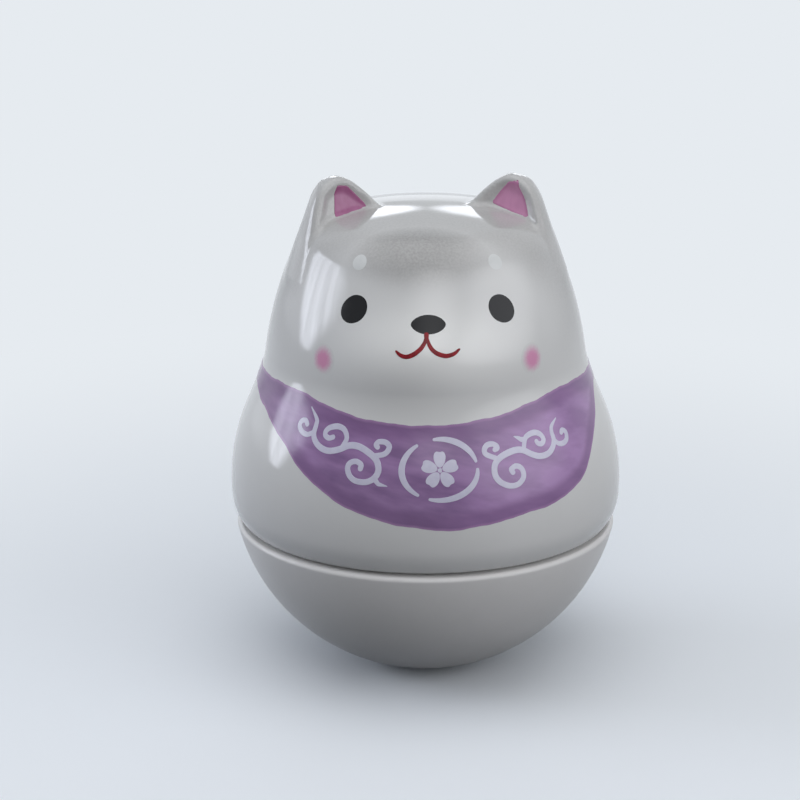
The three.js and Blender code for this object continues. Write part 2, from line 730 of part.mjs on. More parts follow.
function ornamentSheet() {
  return paper(ORNAMENT_TURN, HEAD_WIDEST - ORNAMENT_BELOW_NECK);
}

// A spiral stroke: centre, radius at the start and at the end, start angle and sweep in degrees.
class Curl extends THREE.Curve {
  constructor(centre, from, to, start, sweep) {
    super();
    Object.assign(this, { centre, from, to, start, sweep });
  }

  getPoint(share, target = new THREE.Vector2()) {
    const angle = THREE.MathUtils.degToRad(this.start + this.sweep * share);
    const radius = THREE.MathUtils.lerp(this.from, this.to, share);
    return target.set(this.centre.x + radius * Math.cos(angle), this.centre.y + radius * Math.sin(angle));
  }
}

// A scroll of four curls, a leaf and a tail, drawn about the middle of the ring in shares of
// the scroll's length.
const SCROLL = [
  { at: [-0.7, 0.1475], radii: [0.155, 0.025], start: 184, sweep: 370, ends: [0.6, 0.9], steps: 18 },
  { at: [-0.48, -0.01], radii: [0.165, 0.035], start: 128, sweep: -410, ends: [0.6, 0.9], steps: 20 },
  { at: [-0.935, 0.18], radii: [0.08, 0.025], start: -26, sweep: -280, ends: [0.6, 0.9], steps: 12 },
  { at: [-0.36, 0.125], radii: [0.0675, 0.0225], start: 222, sweep: 290, ends: [0.6, 0.9], steps: 12 },
  { at: [-0.965, 0.195], radii: [0.11, 0.115], start: -30, sweep: 90, ends: [0.9, 0.3], steps: 5 },
  { at: [-0.33, -0.02], radii: [0.075, 0.085], start: 225, sweep: 50, ends: [0.9, 0.3], steps: 4 },
];

function scrollCurl({ at, radii, start, sweep }) {
  const centre = at2(...at).multiplyScalar(SCROLL_LENGTH);
  return new Curl(centre, radii[0] * SCROLL_LENGTH, radii[1] * SCROLL_LENGTH, start, sweep);
}

// The right scroll mirrors the left one, and was painted a little lower and flatter.
function scroll(sign) {
  const sheet = ornamentSheet();
  const root = at2(SCROLL_ROOT, 0);
  const tilt = THREE.MathUtils.degToRad(RIGHT_SCROLL_TILT);
  const mirrored = (right, up, lift) => {
    const point = at2(-right, up).rotateAround(root, tilt);
    return sheet(point.x - RIGHT_SCROLL_IN, point.y - RIGHT_SCROLL_LOWER, lift);
  };
  const hair = PAINT_THICKNESS / 20;
  const side = sign > 0 ? mirrored : sheet;
  const parts = SCROLL.map((row, i) =>
    stroke(side, scrollCurl(row), ORNAMENT_LINE, row.ends, row.steps, ON_BIB + i * hair),
  );
  if (sign > 0) parts.forEach(turnFacesOut);
  return strokes(parts);
}

// A mirrored skin gets its triangles wound the other way, so that its faces point out again.
function turnFacesOut(geometry) {
  geometry.setIndex(Array.from(geometry.index.array).reverse());
}

// One of the three arcs of the broken ring, from and to in degrees.
function ringArc([from, to]) {
  const start = THREE.MathUtils.degToRad(from);
  const end = THREE.MathUtils.degToRad(to);
  const curve = new THREE.EllipseCurve(0, 0, RING_HALF_WIDTH, RING_HALF_TALL, start, end, false);
  return stroke(ornamentSheet(), curve, ORNAMENT_LINE, [0.4, 0.4], 10, ON_BIB);
}

// Round petals in one outline, with a notch between each two.
function blossom() {
  const edge = (angle) => {
    const petal = Math.sqrt(Math.abs(Math.cos((PETALS * (angle - Math.PI / 2)) / 2)));
    const radius = BLOSSOM_RADIUS * THREE.MathUtils.lerp(BLOSSOM_NOTCH, 1, petal);
    return at2(radius * Math.cos(angle), radius * Math.sin(angle));
  };
  return spot(ornamentSheet(), edge, 2 * SMALL_FACETS, ON_BIB);
}

const figurine = new THREE.Group();

function add(name, geometry, material) {
  const mesh = new THREE.Mesh(geometry, material);
  mesh.name = name;
  figurine.add(mesh);
}

add("body_shell", bodyShell(), glaze);
add("base_bowl", baseBowl(), moulding);
add("ballast_weight", ballastWeight(), iron);
add("weight_washer", weightWasher(), steel);
add("weight_screw", weightScrew(), steel);
add("glue_bead", glueBead(), adhesive);
for (const ear of EARS) {
  add(`inner_ear_${ear.side}`, innerEar(ear), pink);
  add(`eye_${ear.side}`, eye(ear.sign), black);
  add(`brow_${ear.side}`, brow(ear.sign), white);
  add(`cheek_${ear.side}`, cheek(ear.sign), blush);
  add(`scroll_${ear.side}`, scroll(ear.sign), white);
}
add("nose", nose(), black);
add("mouth", mouth(), red);
add("bib", bib(), purple);
for (const [place, span] of Object.entries(RING_ARCS)) add(`ring_arc_${place}`, ringArc(span), white);
add("blossom", blossom(), white);

export default figurine;
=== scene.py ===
# %% [markdown]
# # A roly-poly dog
# A hollow glazed ceramic dog without legs is glued to a ball-shaped bowl with a weight in it,
# so it rights itself when it is pushed. This lesson loads the plain solids and dresses each of
# them: smooth glaze, painted enamel, a satin moulded bowl and the hardware inside.
# The solids stay as the fixed frame. Every piece made here is in metres, at their place.

# %% Load the frame
import math

import bmesh
import bpy
import mathutils
import numpy as np
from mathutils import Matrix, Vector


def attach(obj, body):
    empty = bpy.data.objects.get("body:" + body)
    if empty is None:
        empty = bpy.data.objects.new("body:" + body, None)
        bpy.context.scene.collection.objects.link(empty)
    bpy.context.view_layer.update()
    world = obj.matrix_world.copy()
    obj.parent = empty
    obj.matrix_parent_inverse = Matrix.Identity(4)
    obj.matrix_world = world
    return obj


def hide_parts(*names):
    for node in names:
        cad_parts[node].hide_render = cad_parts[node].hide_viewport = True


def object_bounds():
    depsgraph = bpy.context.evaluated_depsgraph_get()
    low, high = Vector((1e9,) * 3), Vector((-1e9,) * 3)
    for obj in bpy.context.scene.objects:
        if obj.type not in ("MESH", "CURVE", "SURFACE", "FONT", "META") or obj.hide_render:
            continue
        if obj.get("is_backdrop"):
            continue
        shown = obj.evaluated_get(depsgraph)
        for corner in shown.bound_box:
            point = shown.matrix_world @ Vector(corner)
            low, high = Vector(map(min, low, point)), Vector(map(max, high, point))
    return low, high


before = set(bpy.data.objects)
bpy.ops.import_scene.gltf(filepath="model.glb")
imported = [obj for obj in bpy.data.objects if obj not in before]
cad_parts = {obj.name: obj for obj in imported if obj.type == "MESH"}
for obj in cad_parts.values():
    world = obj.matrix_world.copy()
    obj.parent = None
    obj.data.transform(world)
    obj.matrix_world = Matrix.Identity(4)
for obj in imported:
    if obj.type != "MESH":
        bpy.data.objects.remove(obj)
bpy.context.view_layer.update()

# %% [markdown]
# ## Small tools
# A node tree is easier to read as a recipe than as a screenful of links. `add_node` makes one
# node with its settings, and `feed` gives each input another node's result or a fixed value.
# Colours are written as the hex values that a paint chart gives and turned to linear light.
# Every finish starts with its shader and a node that gives the place on the object in millimetres.

# %% Helpers
MM = 0.001


def feed(tree, node, inputs):
    for socket, source in inputs.items():
        if isinstance(source, bpy.types.Node):
            source = next(output for output in source.outputs if output.enabled)
        if isinstance(source, bpy.types.NodeSocket):
            tree.links.new(source, node.inputs[socket])
        else:
            node.inputs[socket].default_value = source


def add_node(tree, kind, inputs=None, **settings):
    node = tree.nodes.new(kind)
    for setting, value in settings.items():
        setattr(node, setting, value)
    feed(tree, node, inputs or {})
    return node


def linear(chart):
    # The sRGB curve, undone.
    parts = [int(chart[i : i + 2], 16) / 255 for i in (1, 3, 5)]
    return [c / 12.92 if c <= 0.04045 else ((c + 0.055) / 1.055) ** 2.4 for c in parts] + [1.0]


def new_finish(name, **sockets):
    finish = bpy.data.materials.new(name)
    finish.use_nodes = True
    tree = finish.node_tree
    shader = tree.nodes["Principled BSDF"]
    feed(tree, shader, {socket.replace("_", " "): value for socket, value in sockets.items()})
    coords = add_node(tree, "ShaderNodeTexCoord")
    at = add_node(tree, "ShaderNodeMapping", {"Vector": coords.outputs["Object"], "Scale": (1 / MM,) * 3})
    return finish, tree, shader, at


def new_piece(name, points, faces, edges=()):
    mesh = bpy.data.meshes.new(name)
    mesh.from_pydata((np.asarray(points, float) * MM).tolist(), list(edges), faces)
    mesh.shade_smooth()
    piece = bpy.data.objects.new(name, mesh)
    bpy.context.scene.collection.objects.link(piece)
    return piece


def place(piece, node):
    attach(piece, "root")
    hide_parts(node)
    piece.data.calc_loop_triangles()
    size = [round(s / MM, 2) for s in piece.dimensions]
    print(f"{piece.name}: {len(piece.data.loop_triangles)} triangles, {size} mm")


print("the chart's middle grey in linear light:", round(linear("#808080")[0], 3))

# %% [markdown]
# ## The camera
# The picture was taken from a little above, with a long lens that hardly converges. The lens
# shift puts the figure where it stands in the frame without turning the camera.

# %% Camera
CAMERA_PLACE = (0.0, -333.0, 137.3)
CAMERA_AIM = (0.0, 0.0, 29.68)
camera_data = bpy.data.cameras.new("camera")
camera_data.lens = 122.4
camera_data.sensor_width = 36.0
camera_data.shift_x = -0.0319
camera_data.shift_y = 0.0468
camera_data.clip_start = 0.01
camera = bpy.data.objects.new("camera", camera_data)
camera.location = [v * MM for v in CAMERA_PLACE]
tilt = math.atan2(CAMERA_PLACE[2] - CAMERA_AIM[2], CAMERA_AIM[1] - CAMERA_PLACE[1])
camera.rotation_euler = (math.pi / 2 - tilt, 0.0, 0.0)
bpy.context.scene.collection.objects.link(camera)
bpy.context.scene.camera = camera
print("camera looks down by", round(math.degrees(tilt), 1), "degrees")

# %% [markdown]
# ## Sizes
# These are the sizes that the solids were made from, in millimetres. The ball is the belly and
# the bowl in one sphere. The head is a barrel whose side is a long arc, and it runs into the
# ball at the neck and over a small fillet into a shallow domed crown.

# %% Sizes of the body
CAD_RADIUS = 25.0
BALL_RADIUS = CAD_RADIUS - 0.01
LAND_RADIUS = 4.0
BALL_CENTRE = math.sqrt(CAD_RADIUS**2 - LAND_RADIUS**2)
HEAD_RADIUS = 20.8
HEAD_WIDEST = BALL_CENTRE + 10.725
HEAD_TALL = 25.1
HEAD_ARC = 48.0
NECK_BLEND = 2.2
CROWN_HEIGHT = HEAD_WIDEST + HEAD_TALL
CROWN_RADIUS = 55.0
CROWN_FILLET = 6.6
MUZZLE_DOWN = 0.58
MUZZLE_HEIGHT = CROWN_HEIGHT - MUZZLE_DOWN * HEAD_TALL
MUZZLE_RISE = 1.6
MUZZLE_SPREAD = (7.5, 3.6)
SEAM_HEIGHT = 19.8
# Wider than in the solids, so that the seam shows as a dark line.
FOOT_CLEAR = 0.15
RIM_CLEAR = 0.33
FOOT = SEAM_HEIGHT + FOOT_CLEAR
RIM = SEAM_HEIGHT - RIM_CLEAR
FOOT_CURVE = 6.0
FOOT_TUCK = 3.5
FOOT_EDGE = 0.15
BODY_WALL = 2.6
BORE_SPHERE = 22.0
FOOT_BORE = math.sqrt(BORE_SPHERE**2 - (FOOT - BALL_CENTRE) ** 2)
BORE_TOP = SEAM_HEIGHT + 4.8
BORE_FLARE = 5.0
print("crown at", round(CROWN_HEIGHT, 2), "mm, neck at", round(HEAD_WIDEST, 2), "mm")

# %% [markdown]
# ## The body as a distance field
# Slip casting and thick glaze leave no sharp edge anywhere: the ears melt into the head. Joining
# meshes would leave creases, so the body is written as a distance: negative in the clay,
# positive outside. Distances are easy to blend, and their slope gives exact normals, which is
# what keeps reflections in the glaze clean. First the turned body, measured in radius and height.


# %% Turned body
def eased_max(a, b, width):
    near = np.maximum(width - np.abs(a - b), 0) / width
    return np.maximum(a, b) + near**2 * width / 4


def round_max(a, b, radius):
    u = np.maximum(a + radius, 0)
    v = np.maximum(b + radius, 0)
    return np.minimum(np.maximum(a, b), -radius) + np.hypot(u, v)


def side_radius(z, inset=0.0):
    ball = np.sqrt(np.maximum((BALL_RADIUS - inset) ** 2 - (z - BALL_CENTRE) ** 2, 0))
    reach = np.sqrt(np.maximum((HEAD_ARC - inset) ** 2 - (z - HEAD_WIDEST) ** 2, 0))
    return eased_max(ball, HEAD_RADIUS - HEAD_ARC + reach, NECK_BLEND)


def fillet_between(side, side_reach, crown, crown_reach):
    span = np.linalg.norm(crown - side)
    along = (span**2 + side_reach**2 - crown_reach**2) / (2 * span)
    ahead = (crown - side) / span
    square = np.array([-ahead[1], ahead[0]])
    return side + along * ahead + math.sqrt(side_reach**2 - along**2) * square


SIDE_CENTRE = np.array([HEAD_RADIUS - HEAD_ARC, HEAD_WIDEST])
CROWN_CENTRE = np.array([0.0, CROWN_HEIGHT - CROWN_RADIUS])
FILLET = fillet_between(SIDE_CENTRE, HEAD_ARC - CROWN_FILLET, CROWN_CENTRE, CROWN_RADIUS - CROWN_FILLET)
SIDE_BEARING = math.atan2(*(FILLET - SIDE_CENTRE)[::-1])
CROWN_BEARING = math.atan2(*(FILLET - CROWN_CENTRE)[::-1])
FILLET_START = FILLET[1] + CROWN_FILLET * math.sin(SIDE_BEARING)


def turned_distance(r, z, inset=0.0):
    step = 0.01
    slope = (side_radius(z + step, inset) - side_radius(z - step, inset)) / (2 * step)
    side = (r - side_radius(z, inset)) / np.sqrt(1 + slope**2)
    crown = np.hypot(r, z - CROWN_CENTRE[1]) - (CROWN_RADIUS - inset)
    corner = np.hypot(r - FILLET[0], z - FILLET[1]) - (CROWN_FILLET - inset)
    bearing = np.arctan2(z - FILLET[1], r - FILLET[0])
    upper = np.where(bearing > CROWN_BEARING, crown, corner)
    return np.where(bearing < SIDE_BEARING, side, upper)


print("fillet round the crown starts at", round(FILLET_START, 2), "mm")

# %% [markdown]
# The belly tucks in above the foot, which stands on the bowl's rim. The muzzle is a low mound,
# and the hollow inside follows the outside at the thickness of the wall, with a straight bore
# for the bowl's spigot.

# %% Foot, muzzle and hollow
tuck_rise = FOOT + FOOT_TUCK - BALL_CENTRE
TUCK = np.array([math.sqrt((BALL_RADIUS - FOOT_CURVE) ** 2 - tuck_rise**2), FOOT + FOOT_TUCK])
TUCK_BEARING = math.atan2(tuck_rise, TUCK[0])


def head_distance(x, y, z):
    r = np.hypot(x, y)
    bearing = np.arctan2(z - TUCK[1], r - TUCK[0])
    tuck = np.hypot(r - TUCK[0], z - TUCK[1]) - FOOT_CURVE
    body = np.where(bearing < TUCK_BEARING, tuck, turned_distance(r, z))
    across = np.arctan2(x, -y) * side_radius(z) / MUZZLE_SPREAD[0]
    up = (z - MUZZLE_HEIGHT) / MUZZLE_SPREAD[1]
    body = body - MUZZLE_RISE * np.exp(-(across**2 + up**2) / 2)
    return round_max(body, FOOT - z, FOOT_EDGE)


def hollow_distance(x, y, z):
    r = np.hypot(x, y)
    bore = r - FOOT_BORE - BORE_FLARE * np.clip(z - BORE_TOP, 0, 1)
    return np.maximum(turned_distance(r, z, BODY_WALL), bore)


belly_wall = hollow_distance(BALL_RADIUS, 0.0, BALL_CENTRE + 1.0)
print("wall at the belly:", float(belly_wall.round(2)), "mm")

# %% [markdown]
# Each ear is a leaf of clay that leans back and turns in to the face. Its outer side carries on
# the side of the head, its top is a rounded cap and its front is a shallow dish. Rounded maxima
# give every rim the soft radius that glaze leaves, and a smooth minimum melts the root into the
# crown. The two ears were set by hand, so they differ a little.

# %% Ears
EAR_X = HEAD_RADIUS - 11.2
EAR_RISE = 3.66
EAR_LEAN = 1.3
EAR_THICKNESS = (5.2, 2.1)
EAR_INNER = -5.2
EAR_CAP_MIDDLE = 0.4
EAR_CAP_RADIUS = 3.2
EAR_SIDE_SLOPE = 0.345
EAR_START = 52.5
EAR_RECESS = 0.25
EAR_RIM = 0.35
EAR_DISH = 0.9
EAR_DISH_SPREAD = 1.9
EAR_ROUND = 0.7
EAR_FADE = 0.6
EAR_FADE_SPAN = 0.8
EAR_FADE_START = 0.25
EAR_FADE_MOST = 1.5
# Height and width shares of the slanting inner edge's normal.
EAR_EDGE = (0.76, 0.65)
EARS = {"left": (-1, -2.7, math.radians(30)), "right": (1, -1.2, math.radians(24))}


def ease(share):
    return share**2 * (3 - 2 * share)


def outer_distance(x, y, z):
    top = side_radius(np.minimum(z, EAR_START)) - EAR_SIDE_SLOPE * np.maximum(z - EAR_START, 0)
    top -= EAR_RECESS * np.maximum(EAR_START - z, 0)
    return (np.hypot(x, y) - top) / math.hypot(1, EAR_SIDE_SLOPE)


def ear_place(ear, across, behind, z):
    sign, front, turn = EARS[ear]
    behind = behind + EAR_LEAN * (z - CROWN_HEIGHT) / EAR_RISE
    x = sign * (EAR_X + across * math.cos(turn) + behind * math.sin(turn))
    y = front - across * math.sin(turn) + behind * math.cos(turn)
    return np.stack([x, y, z], -1)


def ear_distance(ear, x, y, z):
    sign, front, turn = EARS[ear]
    dx = sign * x - EAR_X
    dy = y - front
    across = dx * math.cos(turn) - dy * math.sin(turn)
    above = (z - CROWN_HEIGHT) / EAR_RISE
    depth = dx * math.sin(turn) + dy * math.cos(turn) - EAR_LEAN * above
    thick = EAR_THICKNESS[0] + (EAR_THICKNESS[1] - EAR_THICKNESS[0]) * np.clip(above, -1, 1)
    bow = (across - EAR_CAP_MIDDLE) / EAR_CAP_RADIUS
    cap = (z - CROWN_HEIGHT - EAR_RISE + bow**2 * EAR_CAP_RADIUS / 2) / np.sqrt(1 + bow**2)
    edge = EAR_EDGE[0] * (z - CROWN_HEIGHT) - EAR_EDGE[1] * (across - EAR_INNER)
    outline = round_max(cap, edge, EAR_ROUND)
    off_middle = np.abs(2 * depth / thick - 1) / EAR_FADE_SPAN - EAR_FADE_START
    outer = outer_distance(x, y, z) + EAR_FADE * np.clip(off_middle, 0, EAR_FADE_MOST) ** 2
    inside = np.clip((-np.maximum(outline, outer) - EAR_RIM) / EAR_DISH_SPREAD, 0, 1)
    dish = EAR_DISH * ease(inside)
    leaf = round_max(outline, np.maximum(dish - depth, depth - thick), EAR_ROUND)
    return round_max(leaf, outer, EAR_ROUND)


print("ears lean back", EAR_LEAN, "mm and rise", EAR_RISE, "mm above the crown")

# %% [markdown]
# The whole body is head, ears and hollow together. The blend at the ears' roots is wide on the
# crown and narrower where the ear's outer side runs on from the head's.

# %% The whole body as one distance
EAR_BLEND = (0.7, 0.9)
EAR_BLEND_START = 0.3
EAR_BLEND_SPAN = 1.7
EAR_LOWEST = EAR_START - 5.0
SLOPE_STEP = 0.02


def body_distance(points):
    x, y, z = points.T
    body = head_distance(x, y, z)
    near = np.nonzero(z > EAR_LOWEST)[0]
    x, y, z = points[near].T
    inside = np.clip((-outer_distance(x, y, z) - EAR_BLEND_START) / EAR_BLEND_SPAN, 0, 1)
    width = EAR_BLEND[0] + (EAR_BLEND[1] - EAR_BLEND[0]) * ease(inside)
    for ear in EARS:
        body[near] = -eased_max(-body[near], -ear_distance(ear, x, y, z), width)
    return np.maximum(body, -hollow_distance(*points.T))


def slope_of(distance, points):
    rises = [distance(points + nudge) - distance(points - nudge) for nudge in np.eye(3) * SLOPE_STEP]
    return np.stack(rises, 1) / (2 * SLOPE_STEP)


def body_normals(points):
    slope = slope_of(body_distance, points)
    return slope / np.maximum(np.linalg.norm(slope, axis=1), 1e-6)[:, None]


wall_middle = np.array([[0.0, BODY_WALL / 2 - BALL_RADIUS, BALL_CENTRE]])
print("middle of the belly's wall:", float(body_distance(wall_middle)[0].round(2)), "mm")

# %% [markdown]
# ## Meshing the field
# A net of small cells is laid over the field. Every cell that the surface passes through gets
# one point, and every grid edge that it crosses gets one face between the four cells around it.
# The points are then walked down the slope on to the surface itself.


# %% Surface net
def surface_net(low, high, step):
    axes = [np.arange(a, b + step, step) for a, b in zip(low, high)]
    shape = tuple(len(a) for a in axes)
    grid = np.stack(np.meshgrid(*axes, indexing="ij"), -1).reshape(-1, 3)
    value = np.concatenate([body_distance(part) for part in np.array_split(grid, 16)]).reshape(shape)
    inside = value < 0
    corners = [(i, j, k) for i in (0, 1) for j in (0, 1) for k in (0, 1)]
    count = sum(
        inside[i : shape[0] - 1 + i, j : shape[1] - 1 + j, k : shape[2] - 1 + k] * 1 for i, j, k in corners
    )
    cells = np.argwhere((count > 0) & (count < 8))
    number = np.full([n - 1 for n in shape], -1)
    number[tuple(cells.T)] = np.arange(len(cells))
    total = np.zeros((len(cells), 3))
    hits = np.zeros(len(cells))
    for a in corners:
        for axis in range(3):
            if a[axis]:
                continue
            b = tuple(np.add(a, np.eye(3, dtype=int)[axis]))
            start = value[tuple((cells + a).T)]
            end = value[tuple((cells + b).T)]
            crossed = (start < 0) != (end < 0)
            share = np.where(crossed, start / np.where(crossed, start - end, 1), 0)
            spot = np.tile(np.array(a, float), (len(cells), 1))
            spot[:, axis] += share
            total += spot * crossed[:, None]
            hits += crossed
    points = np.array(low) + (cells + total / hits[:, None]) * step
    faces = []
    for axis in range(3):
        b, c = (axis + 1) % 3, (axis + 2) % 3
        lower = np.moveaxis(inside, (axis, b, c), (0, 1, 2))
        index = np.moveaxis(number, (axis, b, c), (0, 1, 2))
        i, j, k = np.nonzero(lower[:-1, 1:-1, 1:-1] != lower[1:, 1:-1, 1:-1])
        around_edge = ((j, k), (j + 1, k), (j + 1, k + 1), (j, k + 1))
        quad = np.stack([index[i, side, up] for side, up in around_edge], 1)
        leaving = lower[i, j + 1, k + 1]
        faces.append(np.where(leaving[:, None], quad, quad[:, ::-1]))
    return points, np.concatenate(faces)


print("net: one point per cell, one face per crossed grid edge")

# %% Body mesh
NET_STEP = 0.43
NET_WALKS = 6
LEAST_STEEP = 0.2
net_low = (-25.7, -25.7, FOOT - 1.1)
net_high = (25.7, 25.7, CROWN_HEIGHT + EAR_RISE + 1.0)
body_points, body_faces = surface_net(net_low, net_high, NET_STEP)
for _ in range(NET_WALKS):
    slope = slope_of(body_distance, body_points)
    walk = body_distance(body_points) / np.maximum((slope**2).sum(1), LEAST_STEEP)
    body_points -= np.clip(walk, -NET_STEP / 2, NET_STEP / 2)[:, None] * slope
body = new_piece("glazed_body", body_points, body_faces.tolist())
body.data.normals_split_custom_set_from_vertices(body_normals(body_points).tolist())
print("furthest point from the surface:", float(np.abs(body_distance(body_points)).max().round(4)), "mm")

# %% [markdown]
# ## Clear glaze on white earthenware
# The clay is cast from slip, fired, airbrushed white round the muzzle and grey over the top and
# sides of the head, and dipped in clear glaze. The white is also painted light that brightens the
# lower face, and the grey is also painted shade that darkens the forehead and the head's sides
# towards the outline. What the eye gets is a milky warm white with faint clouds, a few iron specks
# from the clay, sharp reflections, and a slow wobble in them where the glaze pooled and drained.
# Many finishes start alike, with one noise for tone and gloss.


# %% Two recipes
def two_tones(tree, at, grain, tones, gloss, detail=3.0):
    noise = add_node(tree, "ShaderNodeTexNoise", {"Vector": at, "Scale": 1 / grain, "Detail": detail})
    shades = {0: noise, 6: linear(tones[0]), 7: linear(tones[1])}
    tone = add_node(tree, "ShaderNodeMix", shades, data_type="RGBA")
    levels = {"From Min": 0.3, "From Max": 0.7, "To Min": gloss[0], "To Max": gloss[1]}
    rough = add_node(tree, "ShaderNodeMapRange", {"Value": noise, **levels})
    return noise, tone, rough


def sprayed_round(tree, at, middle, reach, edges, loads, easing="SMOOTHSTEP"):
    oval = {"Vector": at, "Location": middle, "Scale": reach}
    within = add_node(tree, "ShaderNodeMapping", oval, vector_type="TEXTURE")
    out = add_node(tree, "ShaderNodeVectorMath", {0: within}, operation="LENGTH")
    levels = {"From Min": edges[0], "From Max": edges[1], "To Min": loads[0], "To Max": loads[1]}
    return add_node(tree, "ShaderNodeMapRange", {"Value": out, **levels}, interpolation_type=easing)


print("recipes: two tones from one noise, paint sprayed round a middle")

# %% Clay and airbrush
CLOUD = 14.0
CLAY = ("#e2e2e1", "#d9d9d8")
POOLED_GLOSS = (0.05, 0.11)
# Real spray droplets are finer; these are coarse enough to show.
MIST_GRAIN = 0.28
# Airbrush that is partly real and partly painted light and shade: white round the muzzle, grey on the
# forehead and round the face.
MUZZLE_WHITE_AND_LIGHT = (0.5, -20.0, 46.5)
MUZZLE_REACH = (17.0, 14.0, 8.0)
FOREHEAD_MIDDLE = (-1.0, -14.0, 58.2)
FOREHEAD_REACH = (14.0, 10.0, 6.5)
FACE_MIDDLE = (0.0, -22.0, 47.0)
FACE_REACH = (17.5, 40.0, 12.0)
HEAD_GREY_AND_SHADE = 0.42
HEAD_GREY_AND_SHADE_ENDS = (41.0, 52.0)
glaze, tree, shader, at = new_finish("clear_glaze_on_white_earthenware", IOR=1.52)
_, clay, pooled = two_tones(tree, at, CLOUD, CLAY, POOLED_GLOSS)
# Painted light: the white round the muzzle is partly real airbrush and partly brightens the lower face as
# light would.
muzzle_white_and_light = sprayed_round(tree, at, MUZZLE_WHITE_AND_LIGHT, MUZZLE_REACH, edges=(0.25, 1.0), loads=(0.9, 0.0))
white_and_light = add_node(tree, "ShaderNodeMix", {0: muzzle_white_and_light, 6: clay, 7: linear("#f4f4f2")}, data_type="RGBA")
# Painted shade: the grey on the forehead is partly real airbrush and partly darkens it as shade would.
fade = sprayed_round(
    tree, at, FOREHEAD_MIDDLE, FOREHEAD_REACH, edges=(0.1, 1.0), loads=(0.7, 0.0), easing="SMOOTHERSTEP"
)
# Painted shade: the grey round the face, above the neck, is partly real airbrush and partly darkens the
# head's sides towards the outline.
head_grey_and_shade = sprayed_round(tree, at, FACE_MIDDLE, FACE_REACH, edges=(0.86, 1.18), loads=(0.0, HEAD_GREY_AND_SHADE))
split = add_node(tree, "ShaderNodeSeparateXYZ", {0: at})
high = add_node(
    tree,
    "ShaderNodeMapRange",
    {"Value": split.outputs["Z"], "From Min": HEAD_GREY_AND_SHADE_ENDS[0], "From Max": HEAD_GREY_AND_SHADE_ENDS[1]},
    interpolation_type="SMOOTHSTEP",
)
upper = add_node(tree, "ShaderNodeMath", {0: head_grey_and_shade, 1: high}, operation="MULTIPLY")
grey = add_node(tree, "ShaderNodeMath", {0: fade, 1: upper}, operation="MAXIMUM")
grain = add_node(tree, "ShaderNodeTexNoise", {"Vector": at, "Scale": 1 / MIST_GRAIN, "Detail": 1.0})
mist = add_node(
    tree,
    "ShaderNodeMapRange",
    {"Value": grain, "From Min": 0.3, "From Max": 0.7, "To Min": 0.88, "To Max": 1.1},
)
# The grey share, partly real airbrush and partly painted shade, gets a fine grain and turns the clay grey.
sprayed = add_node(tree, "ShaderNodeMath", {0: grey, 1: mist}, operation="MULTIPLY")
brushed = add_node(tree, "ShaderNodeMix", {0: sprayed, 6: white_and_light, 7: linear("#83817f")}, data_type="RGBA")
print("clay and airbrush:", len(tree.nodes), "nodes")

# %% Glaze
ORANGE_PEEL = 2.6
PEEL_DEPTH = 0.012
SPECK_SPACING = 7.0
iron = add_node(tree, "ShaderNodeTexVoronoi", {"Vector": at, "Scale": 1 / SPECK_SPACING})
speck = add_node(
    tree,
    "ShaderNodeMapRange",
    {"Value": iron, "From Min": 0.012, "From Max": 0.03, "To Min": 0.6, "To Max": 0.0},
)
colour = add_node(tree, "ShaderNodeMix", {0: speck, 6: brushed, 7: linear("#5b5148")}, data_type="RGBA")
peel = add_node(tree, "ShaderNodeTexNoise", {"Vector": at, "Scale": 1 / ORANGE_PEEL, "Detail": 1.0})
wobble = add_node(tree, "ShaderNodeBump", {"Height": peel, "Distance": PEEL_DEPTH * MM, "Strength": 1.0})
feed(tree, shader, {"Base Color": colour, "Roughness": pooled, "Normal": wobble})
body.data.materials.append(glaze)
place(body, "body_shell")

# %% [markdown]
# ## Turning on a wheel
# The bowl, the weight and the hardware are all round, so one geometry-node tree turns any
# profile about the upright axis: the profile is swept along a circle and welded where it meets
# the axis. A profile is a list of radius and height; arcs in it are drawn with many short steps.
# All trees here start, end and run alike, so the tools for that come first.


# %% Tree tools
def start_tree(name, inputs):
    tree = bpy.data.node_groups.new(name, "GeometryNodeTree")
    for label, kind in {"Geometry": "Geometry", **inputs}.items():
        tree.interface.new_socket(label, in_out="INPUT", socket_type="NodeSocket" + kind)
    tree.interface.new_socket("Geometry", in_out="OUTPUT", socket_type="NodeSocketGeometry")
    return tree, tree.nodes.new("NodeGroupInput").outputs


def end_tree(tree, shape, material):
    real = add_node(tree, "GeometryNodeRealizeInstances", {"Geometry": shape})
    coated = add_node(tree, "GeometryNodeSetMaterial", {"Geometry": real, "Material": material})
    add_node(tree, "NodeGroupOutput", {"Geometry": coated})


def keep_result(piece, modifier):
    bpy.context.view_layer.update()
    ready = piece.evaluated_get(bpy.context.evaluated_depsgraph_get())
    made = bpy.data.meshes.new_from_object(ready)
    piece.modifiers.remove(modifier)
    piece.data = made


def run_tree(piece, tree, values):
    modifier = piece.modifiers.new(tree.name, "NODES")
    modifier.node_group = tree
    sockets = {s.name: s.identifier for s in tree.interface.items_tree if s.in_out == "INPUT"}
    for label, value in values.items():
        modifier[sockets[label]] = value
    keep_result(piece, modifier)


def faces_outward(piece, sharp):
    work = bmesh.new()
    work.from_mesh(piece.data)
    bmesh.ops.recalc_face_normals(work, faces=work.faces)
    work.to_mesh(piece.data)
    work.free()
    piece.data.shade_smooth()
    piece.data.set_sharp_from_angle(angle=math.radians(sharp))


print("tree tools: start, end, run and keep the result")

